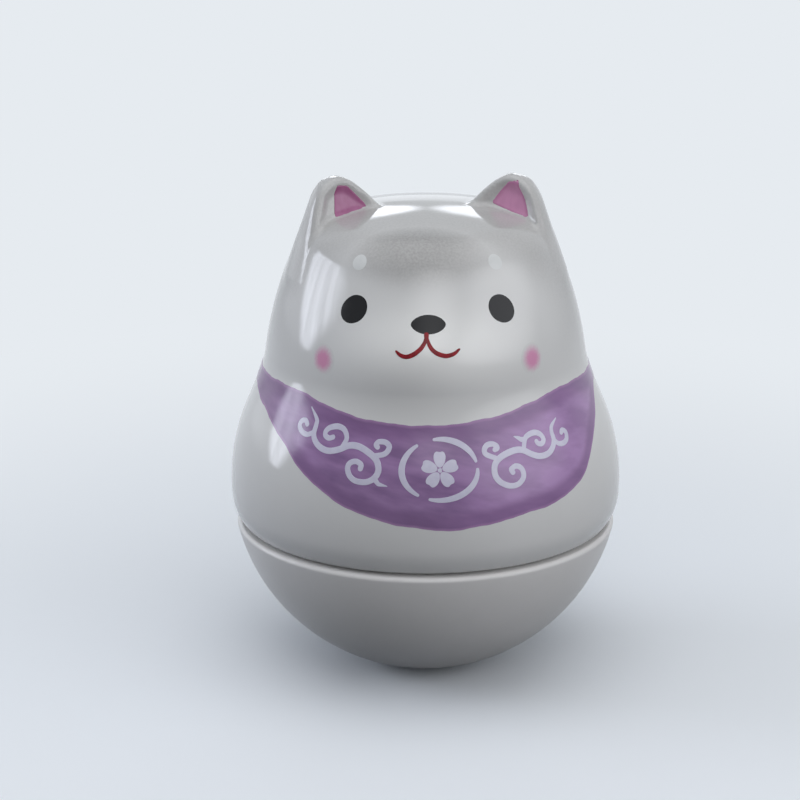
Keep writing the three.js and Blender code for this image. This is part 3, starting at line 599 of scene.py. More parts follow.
# %% Turning tree
WHEEL = 10.0
WELD = 1e-6
turning, given = start_tree("turn_on_wheel", {"Segments": "Int", "Wheel": "Float", "Material": "Material"})
profile = add_node(turning, "GeometryNodeMeshToCurve", {"Mesh": given["Geometry"]})
rim_size = {"Resolution": given["Segments"], "Radius": given["Wheel"]}
circle = add_node(turning, "GeometryNodeCurvePrimitiveCircle", rim_size)
upright = add_node(turning, "GeometryNodeSetCurveNormal", {"Curve": circle}, mode="Z_UP")
swept = add_node(turning, "GeometryNodeCurveToMesh", {"Curve": upright, "Profile Curve": profile})
welded = add_node(turning, "GeometryNodeMergeByDistance", {"Geometry": swept, "Distance": WELD})
end_tree(turning, welded, given["Material"])


def turn(name, outline, segments, finish, sharp=40.0):
    outline = np.array(outline)
    flat = np.stack([outline[:, 0] - WHEEL, -outline[:, 1], np.zeros(len(outline))], 1)
    piece = new_piece(name, flat, [], [(i, i + 1) for i in range(len(flat) - 1)])
    run_tree(piece, turning, {"Segments": segments, "Wheel": WHEEL * MM, "Material": finish})
    faces_outward(piece, sharp)
    return piece


def arc(centre, radius, start, end, steps):
    angles = np.linspace(start, end, steps + 1)
    return [(centre[0] + radius * math.cos(a), centre[1] + radius * math.sin(a)) for a in angles]


print("turning tree:", len(turning.nodes), "nodes")

# %% [markdown]
# ## The bowl
# The lower half of the ball is injection moulded in a warm white plastic with a satin, lightly
# spark-eroded skin. It has a soft rim, a spigot that goes up into the body, a groove for glue
# and a boss for the screw. Satin means a wide, dim highlight instead of the glaze's mirror.

# %% Bowl finish
# A real spark-eroded skin is finer; this one is coarse enough to show.
SPARK_GRAIN = 0.35
SPARK_DEPTH = 0.006
moulded, tree, shader, at = new_finish("satin_moulded_plastic", IOR=1.49)
_, tone, worn = two_tones(tree, at, grain=9.0, tones=("#ebe9e8", "#e2e1df"), gloss=(0.29, 0.39), detail=4.0)
spark = add_node(tree, "ShaderNodeTexNoise", {"Vector": at, "Scale": 1 / SPARK_GRAIN, "Detail": 2.0})
skin = add_node(tree, "ShaderNodeBump", {"Height": spark, "Distance": SPARK_DEPTH * MM, "Strength": 1.0})
feed(tree, shader, {"Base Color": tone, "Roughness": worn, "Normal": skin})
print("bowl finish:", moulded.name)

# %% Bowl
QUARTER = math.pi / 2
RIM_EDGE = 0.5
BOWL_INSIDE = 22.8
SPIGOT_RADIUS = FOOT_BORE - 0.4
SPIGOT_TOP = SEAM_HEIGHT + 4.5
SPIGOT_WALL = 1.8
SPIGOT_EDGES = (0.5, 0.3)
SPIGOT_FOOT = 0.2
LEDGE_BELOW_RIM = 2.5
LEDGE_DEPTH = 1.25
GLUE_MIDDLE = SEAM_HEIGHT + 2.25
GROOVE_HALF = 1.0
GROOVE_RADIUS = SPIGOT_RADIUS - 0.6
BOSS_RADIUS = 3.2
BOSS_TOP = 8.8
BOSS_EDGE = 0.4
BALLAST_TOP = 12.6
SEAT_GAP = 0.3
WASHER_THICKNESS = 0.8
SCREW_SEAT = BALLAST_TOP + WASHER_THICKNESS + 2 * SEAT_GAP
SCREW_LENGTH = 9.0
PILOT_RADIUS = 1.6
PILOT_END = SCREW_SEAT - SCREW_LENGTH - SEAT_GAP
MIDDLE = (0.0, BALL_CENTRE)
edge_rise = RIM - RIM_EDGE - BALL_CENTRE
edge_middle = (math.sqrt((BALL_RADIUS - RIM_EDGE) ** 2 - edge_rise**2), RIM - RIM_EDGE)
edge_bearing = math.atan2(edge_rise, edge_middle[0])
land_bearing = -math.acos(LAND_RADIUS / BALL_RADIUS)
ledge = RIM - LEDGE_BELOW_RIM
inside_start = math.sqrt(BOWL_INSIDE**2 - (ledge - LEDGE_DEPTH - BALL_CENTRE) ** 2)
inside_from = -math.acos(inside_start / BOWL_INSIDE)
inside_to = -math.acos(BOSS_RADIUS / BOWL_INSIDE)
outer_edge, inner_edge = SPIGOT_EDGES
spigot_inside = SPIGOT_RADIUS - SPIGOT_WALL
bowl_outline = [
    (0, 0),
    *arc(MIDDLE, BALL_RADIUS, land_bearing, edge_bearing, 72),
    *arc(edge_middle, RIM_EDGE, edge_bearing, QUARTER, 10)[1:],
    (SPIGOT_RADIUS + SPIGOT_FOOT, RIM),
    (SPIGOT_RADIUS, RIM + SPIGOT_FOOT),
    (SPIGOT_RADIUS, GLUE_MIDDLE - GROOVE_HALF),
    (GROOVE_RADIUS, GLUE_MIDDLE - GROOVE_HALF),
    (GROOVE_RADIUS, GLUE_MIDDLE + GROOVE_HALF),
    (SPIGOT_RADIUS, GLUE_MIDDLE + GROOVE_HALF),
    *arc((SPIGOT_RADIUS - outer_edge, SPIGOT_TOP - outer_edge), outer_edge, 0, QUARTER, 5),
    *arc((spigot_inside + inner_edge, SPIGOT_TOP - inner_edge), inner_edge, QUARTER, math.pi, 4),
    (spigot_inside, ledge),
    *arc(MIDDLE, BOWL_INSIDE, inside_from, inside_to, 40),
    *arc((BOSS_RADIUS - BOSS_EDGE, BOSS_TOP - BOSS_EDGE), BOSS_EDGE, 0, QUARTER, 4),
    (PILOT_RADIUS, BOSS_TOP),
    (PILOT_RADIUS, PILOT_END),
    (0, PILOT_END),
]
bowl_outline[0] = (0, bowl_outline[1][1])
bowl = turn("moulded_bowl", bowl_outline, segments=192, finish=moulded)
place(bowl, "base_bowl")

# %% [markdown]
# ## The weight and what holds it
# A roly-poly needs its weight low down. Here it is a lump of sand-cast iron that fits the bowl,
# with a washer and a self-tapping screw into the boss. Sand leaves iron dark and pebbled.

# %% Cast iron
SAND_GRAIN = 0.9
SAND_DEPTH = 0.08
RUST_PATCH = 6.0
iron_cast, tree, shader, at = new_finish("sand_cast_iron", Metallic=1.0)
sand = add_node(tree, "ShaderNodeTexNoise", {"Vector": at, "Scale": 1 / SAND_GRAIN, "Detail": 4.0})
rust = add_node(tree, "ShaderNodeTexNoise", {"Vector": at, "Scale": 1 / RUST_PATCH, "Detail": 3.0})
rusty = add_node(
    tree,
    "ShaderNodeMapRange",
    {"Value": rust, "From Min": 0.52, "From Max": 0.72, "To Min": 0.0, "To Max": 0.5},
)
tone = add_node(
    tree, "ShaderNodeMix", {0: rusty, 6: linear("#5a5a5d"), 7: linear("#6b4a38")}, data_type="RGBA"
)
dull = add_node(
    tree,
    "ShaderNodeMapRange",
    {"Value": sand, "From Min": 0.3, "From Max": 0.7, "To Min": 0.55, "To Max": 0.75},
)
pebbles = add_node(tree, "ShaderNodeBump", {"Height": sand, "Distance": SAND_DEPTH * MM, "Strength": 1.0})
feed(tree, shader, {"Base Color": tone, "Roughness": dull, "Normal": pebbles})
print("weight finish:", iron_cast.name)

# %% Weight
BALLAST_RADIUS = BOWL_INSIDE - SEAT_GAP
BALLAST_HOLE = 3.5
BALLAST_EDGE = 0.8
BALLAST_LIP = 0.4
top_radius = math.sqrt(BALLAST_RADIUS**2 - (BALLAST_TOP - BALLAST_EDGE - BALL_CENTRE) ** 2)
ballast_from = -math.acos(BALLAST_HOLE / BALLAST_RADIUS)
ballast_to = -math.acos(top_radius / BALLAST_RADIUS)
ballast_roof = BOSS_TOP + SEAT_GAP
ballast_outline = [
    (BALLAST_HOLE, ballast_roof),
    *arc(MIDDLE, BALLAST_RADIUS, ballast_from, ballast_to, 28),
    *arc((top_radius - BALLAST_EDGE, BALLAST_TOP - BALLAST_EDGE), BALLAST_EDGE, 0, QUARTER, 5),
    *arc((PILOT_RADIUS + BALLAST_LIP, BALLAST_TOP - BALLAST_LIP), BALLAST_LIP, QUARTER, math.pi, 4),
    (PILOT_RADIUS, ballast_roof),
]
ballast_outline.append(ballast_outline[0])
ballast = turn("cast_weight", ballast_outline, segments=96, finish=iron_cast)
place(ballast, "ballast_weight")

# %% [markdown]
# Washer and screw are mild steel, stamped and rolled, then zinc plated: bright, a little soft
# in the reflections, with fine turning marks round the axis.

# %% Zinc plated steel
# Real turning marks are finer; these are coarse enough to show.
TURNING_MARK = 0.12
BLOOM = 1.6
plated, tree, shader, at = new_finish("zinc_plated_steel", Metallic=1.0)
marks = add_node(
    tree,
    "ShaderNodeTexWave",
    {"Vector": at, "Scale": 0.314 / TURNING_MARK, "Distortion": 1.5, "Detail": 2.0},
    wave_type="RINGS",
    rings_direction="Z",
)
bloom = add_node(tree, "ShaderNodeTexNoise", {"Vector": at, "Scale": 1 / BLOOM, "Detail": 3.0})
tone = add_node(
    tree, "ShaderNodeMix", {0: bloom, 6: linear("#c4c6c8"), 7: linear("#a9adb2")}, data_type="RGBA"
)
turned = add_node(
    tree, "ShaderNodeMapRange", {"Value": marks.outputs["Fac"], "To Min": 0.24, "To Max": 0.4}
)
feed(tree, shader, {"Base Color": tone, "Roughness": turned})
print("fastener finish:", plated.name)

# %% Washer
WASHER_RADII = (1.6, 4.2)
WASHER_EDGES = (0.15, 0.2)
washer_foot = BALLAST_TOP + SEAT_GAP
washer_top = washer_foot + WASHER_THICKNESS
hole, brim = WASHER_RADII
burr, rounding = WASHER_EDGES
washer_outline = [
    (hole, washer_foot),
    *arc((brim - burr, washer_foot + burr), burr, -QUARTER, 0, 3),
    *arc((brim - rounding, washer_top - rounding), rounding, 0, QUARTER, 4),
    *arc((hole + burr, washer_top - burr), burr, QUARTER, math.pi, 3),
    (hole, washer_foot),
]
washer = turn("stamped_washer", washer_outline, segments=64, finish=plated)
place(washer, "weight_washer")

# %% [markdown]
# The screw is turned as well. The slot is cut with a boolean, which takes a block away from the
# head, and a second tree then winds a ridge along a spiral round the shank.

# %% Screw blank
SCREW_RADIUS = 1.25
SCREW_POINT = (0.5, 1.2)
SCREW_SHARP = 30.0
HEAD_SIZE = (2.8, 1.9)
HEAD_EDGES = (0.15, 0.7)
screw_tip = SCREW_SEAT - SCREW_LENGTH
head_top = SCREW_SEAT + HEAD_SIZE[1]
under_edge, top_edge = HEAD_EDGES
screw_outline = [
    (0, screw_tip),
    (SCREW_POINT[0], screw_tip),
    (SCREW_RADIUS, screw_tip + SCREW_POINT[1]),
    (SCREW_RADIUS, SCREW_SEAT),
    *arc((HEAD_SIZE[0] - under_edge, SCREW_SEAT + under_edge), under_edge, -QUARTER, 0, 3),
    *arc((HEAD_SIZE[0] - top_edge, head_top - top_edge), top_edge, 0, QUARTER, 6),
    (0, head_top),
]
screw = turn("slotted_screw", screw_outline, segments=64, finish=plated, sharp=SCREW_SHARP)
print("screw blank:", len(screw.data.vertices), "points")

# %% Screw slot
SLOT_SIZE = (0.8, 1.0)
half = SLOT_SIZE[0] / 2
slot_heights = (head_top - SLOT_SIZE[1], head_top + SLOT_SIZE[1])
block_corners = [(x, y, z) for x in (-4, 4) for y in (-half, half) for z in slot_heights]
block_faces = [(0, 1, 3, 2), (4, 6, 7, 5), (0, 4, 5, 1), (2, 3, 7, 6), (0, 2, 6, 4), (1, 5, 7, 3)]
block = new_piece("slot_block", block_corners, block_faces)
cut = screw.modifiers.new("slot", "BOOLEAN")
cut.object = block
cut.operation = "DIFFERENCE"
keep_result(screw, cut)
bpy.data.objects.remove(block)
print("with its slot:", len(screw.data.vertices), "points")

# %% Screw thread
THREAD_CREST = 0.26
THREAD_TURNS = 7
THREAD_LENGTH = 7.0
THREAD_START = 1.3
thread_inputs = dict.fromkeys(("Turns", "Radius", "Length", "Start", "Crest"), "Float")
threading, given = start_tree("roll_thread", {**thread_inputs, "Material": "Material"})
helix = add_node(
    threading,
    "GeometryNodeCurveSpiral",
    {"Resolution": 32, "Rotations": given["Turns"], "Start Radius": given["Radius"],
     "End Radius": given["Radius"], "Height": given["Length"]},
)
level = add_node(threading, "GeometryNodeSetCurveNormal", {"Curve": helix}, mode="Z_UP")
ridge = add_node(threading, "GeometryNodeCurvePrimitiveCircle", {"Resolution": 6, "Radius": given["Crest"]})
path_and_ridge = {"Curve": level, "Profile Curve": ridge, "Fill Caps": True}
wound = add_node(threading, "GeometryNodeCurveToMesh", path_and_ridge)
drop = add_node(threading, "ShaderNodeCombineXYZ", {"Z": given["Start"]})
lowered = add_node(threading, "GeometryNodeTransform", {"Geometry": wound, "Translation": drop})
both = add_node(threading, "GeometryNodeJoinGeometry", {"Geometry": given["Geometry"]})
feed(threading, both, {"Geometry": lowered})
end_tree(threading, both, given["Material"])
thread_sizes = {
    "Turns": float(THREAD_TURNS),
    "Radius": SCREW_RADIUS * MM,
    "Length": THREAD_LENGTH * MM,
    "Start": (screw_tip + THREAD_START) * MM,
    "Crest": THREAD_CREST * MM,
    "Material": plated,
}
run_tree(screw, threading, thread_sizes)
faces_outward(screw, SCREW_SHARP)
place(screw, "weight_screw")

# %% [markdown]
# Glue runs round the spigot's groove and sets clear amber, with a few bubbles in it.

# %% Epoxy resin
BUBBLE_SPACING = 0.7
DIMPLE = 0.03
resin, tree, shader, at = new_finish("amber_epoxy_resin", IOR=1.55)
_, tone, skinned = two_tones(tree, at, grain=2.5, tones=("#d9c48c", "#c2a468"), gloss=(0.12, 0.3))
bubbles = add_node(tree, "ShaderNodeTexVoronoi", {"Vector": at, "Scale": 1 / BUBBLE_SPACING})
dimples = add_node(tree, "ShaderNodeBump", {"Height": bubbles, "Distance": DIMPLE * MM, "Strength": 1.0})
feed(tree, shader, {"Base Color": tone, "Roughness": skinned, "Normal": dimples})
print("glue finish:", resin.name)

# %% Glue ring
GLUE_CLEAR = 0.15
GLUE_IN = GROOVE_RADIUS + GLUE_CLEAR
GLUE_OUT = FOOT_BORE - GLUE_CLEAR
GLUE_HALF = 0.85
GLUE_EDGES = (0.3, 0.15)
full, tight = GLUE_EDGES
glue_foot = GLUE_MIDDLE - GLUE_HALF
glue_top = GLUE_MIDDLE + GLUE_HALF
glue_outline = [
    *arc((GLUE_OUT - full, glue_foot + full), full, -QUARTER, 0, 4),
    *arc((GLUE_OUT - full, glue_top - full), full, 0, QUARTER, 4),
    *arc((GLUE_IN + tight, glue_top - tight), tight, QUARTER, math.pi, 3),
    *arc((GLUE_IN + tight, glue_foot + tight), tight, math.pi, 3 * QUARTER, 3),
]
glue_outline.append(glue_outline[0])
glue = turn("glue_ring", glue_outline, segments=128, finish=resin)
place(glue, "glue_bead")

# %% [markdown]
# ## Laying paint on the glaze
# Enamel is painted on the finished glaze and fired again, so each mark is a thin skin that
# follows the clay. Every mark is drawn flat, in millimetres to the right and up, and one
# geometry-node tree wraps it round the figure: a ray is sent inward at each point, and the point
# moves to where the ray meets the body, plus its own small height.

# %% Laying tree
RAY_START = 60.0
SHEET = {
    "Body": "Object", "Turn": "Float", "Height": "Float", "Radius": "Float", "Steep": "Float",
    "Material": "Material",
}
laying, given = start_tree("lay_on_glaze", SHEET)
flat_spot = add_node(laying, "GeometryNodeInputPosition")
split = add_node(laying, "ShaderNodeSeparateXYZ", {0: flat_spot})
share = add_node(laying, "ShaderNodeMath", {0: split.outputs["X"], 1: given["Radius"]}, operation="DIVIDE")
bearing = add_node(laying, "ShaderNodeMath", {0: share, 1: given["Turn"]}, operation="ADD")
sideways = add_node(laying, "ShaderNodeMath", {0: bearing}, operation="SINE")
forward = add_node(laying, "ShaderNodeMath", {0: bearing}, operation="COSINE")
back = add_node(laying, "ShaderNodeMath", {0: forward, 1: -1.0}, operation="MULTIPLY")
outward = add_node(laying, "ShaderNodeCombineXYZ", {"X": sideways, "Y": back})
climb = add_node(laying, "ShaderNodeMath", {0: split.outputs["Y"], 1: given["Steep"]}, operation="MULTIPLY")
level = add_node(laying, "ShaderNodeMath", {0: climb, 1: given["Height"]}, operation="ADD")
raised = add_node(laying, "ShaderNodeCombineXYZ", {"Z": level})
away = add_node(laying, "ShaderNodeVectorMath", {0: outward, "Scale": RAY_START * MM}, operation="SCALE")
source = add_node(laying, "ShaderNodeVectorMath", {0: away, 1: raised}, operation="ADD")
inward = add_node(laying, "ShaderNodeVectorMath", {0: outward, "Scale": -1.0}, operation="SCALE")
figure = add_node(laying, "GeometryNodeObjectInfo", {"Object": given["Body"]}, transform_space="ORIGINAL")
ray = add_node(
    laying,
    "GeometryNodeRaycast",
    {"Target Geometry": figure.outputs["Geometry"], "Source Position": source,
     "Ray Direction": inward, "Ray Length": RAY_START * MM},
)
film_height = {0: ray.outputs["Hit Normal"], "Scale": split.outputs["Z"]}
lift = add_node(laying, "ShaderNodeVectorMath", film_height, operation="SCALE")
spot_on = add_node(laying, "ShaderNodeVectorMath", {0: ray.outputs["Hit Position"], 1: lift}, operation="ADD")
laid = add_node(laying, "GeometryNodeSetPosition", {"Geometry": given["Geometry"], "Position": spot_on})
end_tree(laying, laid, given["Material"])
print("laying tree:", len(laying.nodes), "nodes")

# %% Sheets
FACE_TURN = 1.0


def end_on_glaze(tree, shape, given):
    where = {label: given[label] for label in SHEET}
    wrapped = add_node(tree, "GeometryNodeGroup", {"Geometry": shape, **where}, node_tree=laying)
    add_node(tree, "NodeGroupOutput", {"Geometry": wrapped})


def sheet(degrees, height):
    radius = float(side_radius(height))
    slope = float(side_radius(height + 1) - side_radius(height - 1)) / 2
    return {
        "Body": body,
        "Turn": math.radians(degrees),
        "Height": height * MM,
        "Radius": radius * MM,
        "Steep": 1 / math.hypot(1, slope),
    }


def face_sheet(degrees, down):
    return sheet(FACE_TURN + degrees, CROWN_HEIGHT - down * HEAD_TALL)


print("face turned by", FACE_TURN, "degree")

# %% [markdown]
# A filled mark is a set of rings about a centre, closed above and below. Its rim sinks a little
# into the glaze, so no gap shows. Each point keeps its share of the way out, for the finishes
# that fade. The flat facets of the body would show in the enamel's reflections, so the upper
# side takes its normals from the distance field.

# %% Filled marks
FILM = 0.05
SINK = 0.02
MARK_STEPS = 72


def smooth_normals(piece):
    spots = np.empty(len(piece.data.vertices) * 3)
    piece.data.vertices.foreach_get("co", spots)
    normals = body_normals(spots.reshape(-1, 3) / MM)
    under = np.empty(len(normals))
    piece.data.attributes["underneath"].data.foreach_get("value", under)
    normals[under > 0.5] = 0
    piece.data.normals_split_custom_set_from_vertices(normals.tolist())


def mark_underside(piece, count):
    underneath = piece.data.attributes.new("underneath", "FLOAT", "POINT")
    sides = np.zeros(len(piece.data.vertices))
    sides[len(sides) - count :] = 1
    underneath.data.foreach_set("value", sides)


def mark(name, across, up, dome=6.0):
    shares = np.array([0.2, 0.4, 0.55, 0.7, 0.82, 0.9, 0.96, 1.0])
    rim = np.stack([across, up], 1)
    steps = len(rim)
    top = np.concatenate([np.array([[0.0, 0.0]]), *[rim * s for s in shares]])
    out = np.concatenate([[0.0], np.repeat(shares, steps)])
    heights = np.where(out < 1, FILM * np.sqrt(np.maximum(1 - out**dome, 0)), -SINK)
    points = np.column_stack([top, heights])
    under = points[: len(points) - steps].copy()
    under[:, 2] = -SINK
    first = len(points)
    faces = []
    rings = len(shares)
    for j in range(steps):
        k = (j + 1) % steps
        faces.append((0, 1 + j, 1 + k))
        faces.append((first, first + 1 + k, first + 1 + j))
        for ring in range(rings - 1):
            a, b = 1 + ring * steps, 1 + (ring + 1) * steps
            faces.append((a + j, b + j, b + k, a + k))
            below = first if ring < rings - 2 else 0
            faces.append((first + a + j, first + a + k, below + b + k, below + b + j))
    piece = new_piece(name, np.concatenate([points, under]), faces)
    rim_share = piece.data.attributes.new("rim_share", "FLOAT", "POINT")
    rim_share.data.foreach_set("value", np.concatenate([out, out[: len(under)]]))
    mark_underside(piece, len(under))
    return piece


def lay(piece, where, finish):
    run_tree(piece, laying, {**where, "Material": finish})
    piece.data.shade_smooth()
    smooth_normals(piece)


around = np.arange(MARK_STEPS) * 2 * math.pi / MARK_STEPS
SIDES = {"left": -1, "right": 1}


def oval(width, height):
    return width / 2 * np.cos(around), height / 2 * np.sin(around)


print("films are", FILM, "mm thick")

# %% [markdown]
# ## Black enamel for eyes and nose
# Glossy overglaze black. It is not quite black: thin at the edge and faintly blue where it is
# thick, and its surface levels out almost like glass. Black and both whites share one recipe,
# a dab of enamel whose thickness sets its tone, its gloss and its ripples.


# %% Black enamel
def dabbed_enamel(name, grain, tones, gloss, ripple, ior=1.52):
    enamel, tree, shader, at = new_finish(name, IOR=ior)
    flow, tone, rough = two_tones(tree, at, grain, tones, gloss)
    uneven = add_node(tree, "ShaderNodeBump", {"Height": flow, "Distance": ripple * MM, "Strength": 1.0})
    feed(tree, shader, {"Base Color": tone, "Roughness": rough, "Normal": uneven})
    return enamel


black = dabbed_enamel(
    "black_overglaze_enamel",
    grain=0.8,
    tones=("#08090d", "#141418"),
    gloss=(0.08, 0.16),
    ripple=0.004,
    ior=1.34,
)
print("eye and nose finish:", black.name)

# %% Eyes and nose
EYE_ANGLE = 29.0
EYE_DOWN = 0.371
EYE_SIZE = (3.75, 3.3)
EYE_TILT = math.radians(40)
for side, sign in SIDES.items():
    along, beside = oval(*EYE_SIZE)
    tilt = -sign * EYE_TILT
    eye_across = along * math.cos(tilt) - beside * math.sin(tilt)
    eye_up = along * math.sin(tilt) + beside * math.cos(tilt)
    eye = mark(side + "_eye", eye_across, eye_up)
    lay(eye, face_sheet(sign * EYE_ANGLE, EYE_DOWN), black)
    place(eye, "eye_" + side)
NOSE_DOWN = 0.414
NOSE_SIZE = (4.1, 2.25)
NOSE_POINT = 1.2
rise = np.sin(around)
nose_up = NOSE_SIZE[1] / 2 * np.sign(rise) * np.abs(rise) ** NOSE_POINT
nose = mark("nose_paint", NOSE_SIZE[0] / 2 * np.cos(around), nose_up)
lay(nose, face_sheet(0, NOSE_DOWN), black)
place(nose, "nose")

# %% [markdown]
# ## White brows and blushed cheeks
# The brows are dabs of white. The cheeks are sprayed through a stencil held off the surface, so
# the pink is strongest in the middle and fades out to the colour of the glaze under it.

# %% Brow white
BROW_ANGLE = 31.0
BROW_DOWN = 0.165
BROW_SIZE = 1.9
chalk = dabbed_enamel(
    "white_overglaze_enamel", grain=0.7, tones=("#e4e6e5", "#d8dada"), gloss=(0.1, 0.2), ripple=0.006
)
for side, sign in SIDES.items():
    brow = mark(side + "_brow", *oval(BROW_SIZE, BROW_SIZE))
    lay(brow, face_sheet(sign * BROW_ANGLE, BROW_DOWN), chalk)
    place(brow, "brow_" + side)

# %% Pink spray
blush, tree, shader, at = new_finish("sprayed_pink_enamel", IOR=1.52)
_, clay, pooled = two_tones(tree, at, CLOUD, CLAY, POOLED_GLOSS)
rim = add_node(tree, "ShaderNodeAttribute", attribute_name="rim_share")
mist = add_node(tree, "ShaderNodeTexNoise", {"Vector": at, "Scale": 1 / MIST_GRAIN, "Detail": 1.0})
loose = add_node(
    tree,
    "ShaderNodeMapRange",
    {"Value": mist, "From Min": 0.3, "From Max": 0.7, "To Min": -0.05, "To Max": 0.05},
)
frayed = add_node(tree, "ShaderNodeMath", {0: rim.outputs["Fac"], 1: loose}, operation="ADD")
pink_share = add_node(
    tree,
    "ShaderNodeMapRange",
    {"Value": frayed, "From Min": 0.3, "From Max": 0.97, "To Min": 0.95, "To Max": 0.0},
    interpolation_type="SMOOTHSTEP",
)
tone = add_node(tree, "ShaderNodeMix", {0: pink_share, 6: clay, 7: linear("#de90ba")}, data_type="RGBA")
peel = add_node(tree, "ShaderNodeTexNoise", {"Vector": at, "Scale": 1 / ORANGE_PEEL, "Detail": 1.0})
wobble = add_node(tree, "ShaderNodeBump", {"Height": peel, "Distance": PEEL_DEPTH * MM, "Strength": 1.0})
feed(tree, shader, {"Base Color": tone, "Roughness": pooled, "Normal": wobble})
print("cheek finish:", blush.name)

# %% Cheeks
CHEEK_ANGLE = 39.0
CHEEK_DOWN = 0.626
CHEEK_SIZE = (3.7, 4.0)
CHEEK_DOME = 2.0
for side, sign in SIDES.items():
    cheek = mark(side + "_cheek", *oval(*CHEEK_SIZE), CHEEK_DOME)
    lay(cheek, face_sheet(sign * CHEEK_ANGLE, CHEEK_DOWN), blush)
    place(cheek, "cheek_" + side)

# %% [markdown]
# ## Brush lines
# A brush line is a path with a width at each point. The tree turns the drawn edges into a smooth
# curve, sweeps a flattened circle along it at that width, and lays the result on the glaze with
# the tree from before. Round ends get three more points, so that they close like a drop.

# %% Line tree
lining, given = start_tree("painted_line", {**SHEET, "Flatness": "Float"})
drawn = add_node(lining, "GeometryNodeMeshToCurve", {"Mesh": given["Geometry"]})
flowing = add_node(lining, "GeometryNodeCurveSplineType", {"Curve": drawn}, spline_type="CATMULL_ROM")
fine = add_node(lining, "GeometryNodeSetSplineResolution", {"Geometry": flowing, "Resolution": 8})
level = add_node(lining, "GeometryNodeSetCurveNormal", {"Curve": fine}, mode="Z_UP")
tip = add_node(lining, "GeometryNodeCurvePrimitiveCircle", {"Resolution": 14, "Radius": 1.0})
squash = add_node(lining, "ShaderNodeCombineXYZ", {"X": 1.0, "Y": given["Flatness"], "Z": 1.0})
pressed = add_node(lining, "GeometryNodeTransform", {"Geometry": tip, "Scale": squash})
width = add_node(lining, "GeometryNodeInputNamedAttribute", {"Name": "half_width"}, data_type="FLOAT")
path_and_tip = {"Curve": level, "Profile Curve": pressed, "Scale": width, "Fill Caps": True}
swept = add_node(lining, "GeometryNodeCurveToMesh", path_and_tip)
end_on_glaze(lining, swept, given)
print("line tree:", len(lining.nodes), "nodes")

# %% Brush
LINE_FLATNESS = 0.14
DROP_REACH = np.array([0.5, 0.86, 1.0])
DROP_WIDTH = np.array([0.86, 0.5, 0.04])
SMOOTH_ALL = 180.0


def drop_end(path, widths):
    ahead = path[-1] - path[-2]
    ahead = ahead / np.linalg.norm(ahead)
    drop = path[-1] + widths[-1] * DROP_REACH[:, None] * ahead
    return np.concatenate([path, drop]), np.concatenate([widths, widths[-1] * DROP_WIDTH])


def brush(name, lines, where, finish, lift):
    points, sizes, edges = [], [], []
    for path, widths in lines:
        path, widths = drop_end(np.asarray(path, float), np.asarray(widths, float))
        path, widths = drop_end(path[::-1], widths[::-1])
        start = len(sizes)
        edges += [(start + i, start + i + 1) for i in range(len(path) - 1)]
        points += [(x, y, lift) for x, y in path]
        sizes += list(widths * MM)
    piece = new_piece(name, points, [], edges)
    half = piece.data.attributes.new("half_width", "FLOAT", "POINT")
    half.data.foreach_set("value", np.array(sizes))
    run_tree(piece, lining, {**where, "Flatness": LINE_FLATNESS, "Material": finish})
    faces_outward(piece, SMOOTH_ALL)
    spots = np.array([v.co for v in piece.data.vertices]) / MM
    normals = body_normals(spots)
    normals[body_distance(spots) < lift] = 0
    piece.data.normals_split_custom_set_from_vertices(normals.tolist())
    return piece


print("a painted line is", LINE_FLATNESS, "times as high as wide")

# %% [markdown]
# ## The mouth
# Iron red, put on in three strokes with a pointed brush: a short stem under the nose and two
# curves that swell in the middle and run out at the corners. Thin red lets the white through.

# %% Iron red
DRAG_GRAIN = 0.5
red, tree, shader, at = new_finish("iron_red_enamel", IOR=1.3)
drag = add_node(tree, "ShaderNodeTexNoise", {"Vector": at, "Scale": 1 / DRAG_GRAIN, "Detail": 3.0})
thin = add_node(tree, "ShaderNodeMapRange", {"Value": drag, "From Min": 0.35, "From Max": 0.7})
tone = add_node(
    tree, "ShaderNodeMix", {0: thin, 6: linear("#780c18"), 7: linear("#a01623")}, data_type="RGBA"
)
smooth = add_node(
    tree,
    "ShaderNodeMapRange",
    {"Value": drag, "From Min": 0.3, "From Max": 0.7, "To Min": 0.12, "To Max": 0.26},
)
feed(tree, shader, {"Base Color": tone, "Roughness": smooth})
print("mouth finish:", red.name)

# %% Mouth
MOUTH_DROP = NOSE_SIZE[1] / 2 + 0.05
MOUTH_LINE = 0.27
MOUTH_LIFT = 0.02
STEM_SWELL = [1.0, 0.9, 0.6]
CURVE_SWELL = [0.55, 0.8, 0.9, 1.0, 1.0, 0.85, 0.5]
STEM = [(-0.22, 0.1), (-0.22, -0.3), (-0.2, -0.8)]
LEFT_CURVE = [
    (-0.26, -0.2), (-0.44, -0.92), (-0.92, -1.67), (-1.63, -2.28), (-2.34, -2.57), (-2.98, -2.4),
    (-3.42, -2.0),
]
RIGHT_CURVE = [
    (-0.17, -0.3), (0.1, -1.17), (0.55, -1.85), (1.19, -2.28), (1.94, -2.47), (2.72, -2.25),
    (3.27, -1.8),
]
below_nose = []
for path, swell in ((STEM, STEM_SWELL), (LEFT_CURVE, CURVE_SWELL), (RIGHT_CURVE, CURVE_SWELL)):
    below_nose.append((np.array(path) - (0, MOUTH_DROP), MOUTH_LINE * np.array(swell)))
mouth = brush("mouth_strokes", below_nose, face_sheet(0, NOSE_DOWN), red, MOUTH_LIFT)
place(mouth, "mouth")

# %% [markdown]
# ## Pink inside the ears
# The pink is brushed into the scoop of each ear, up to its edges. The outline is drawn on the
# ear's own plane, across and up, and each point then walks to the nearest clay.

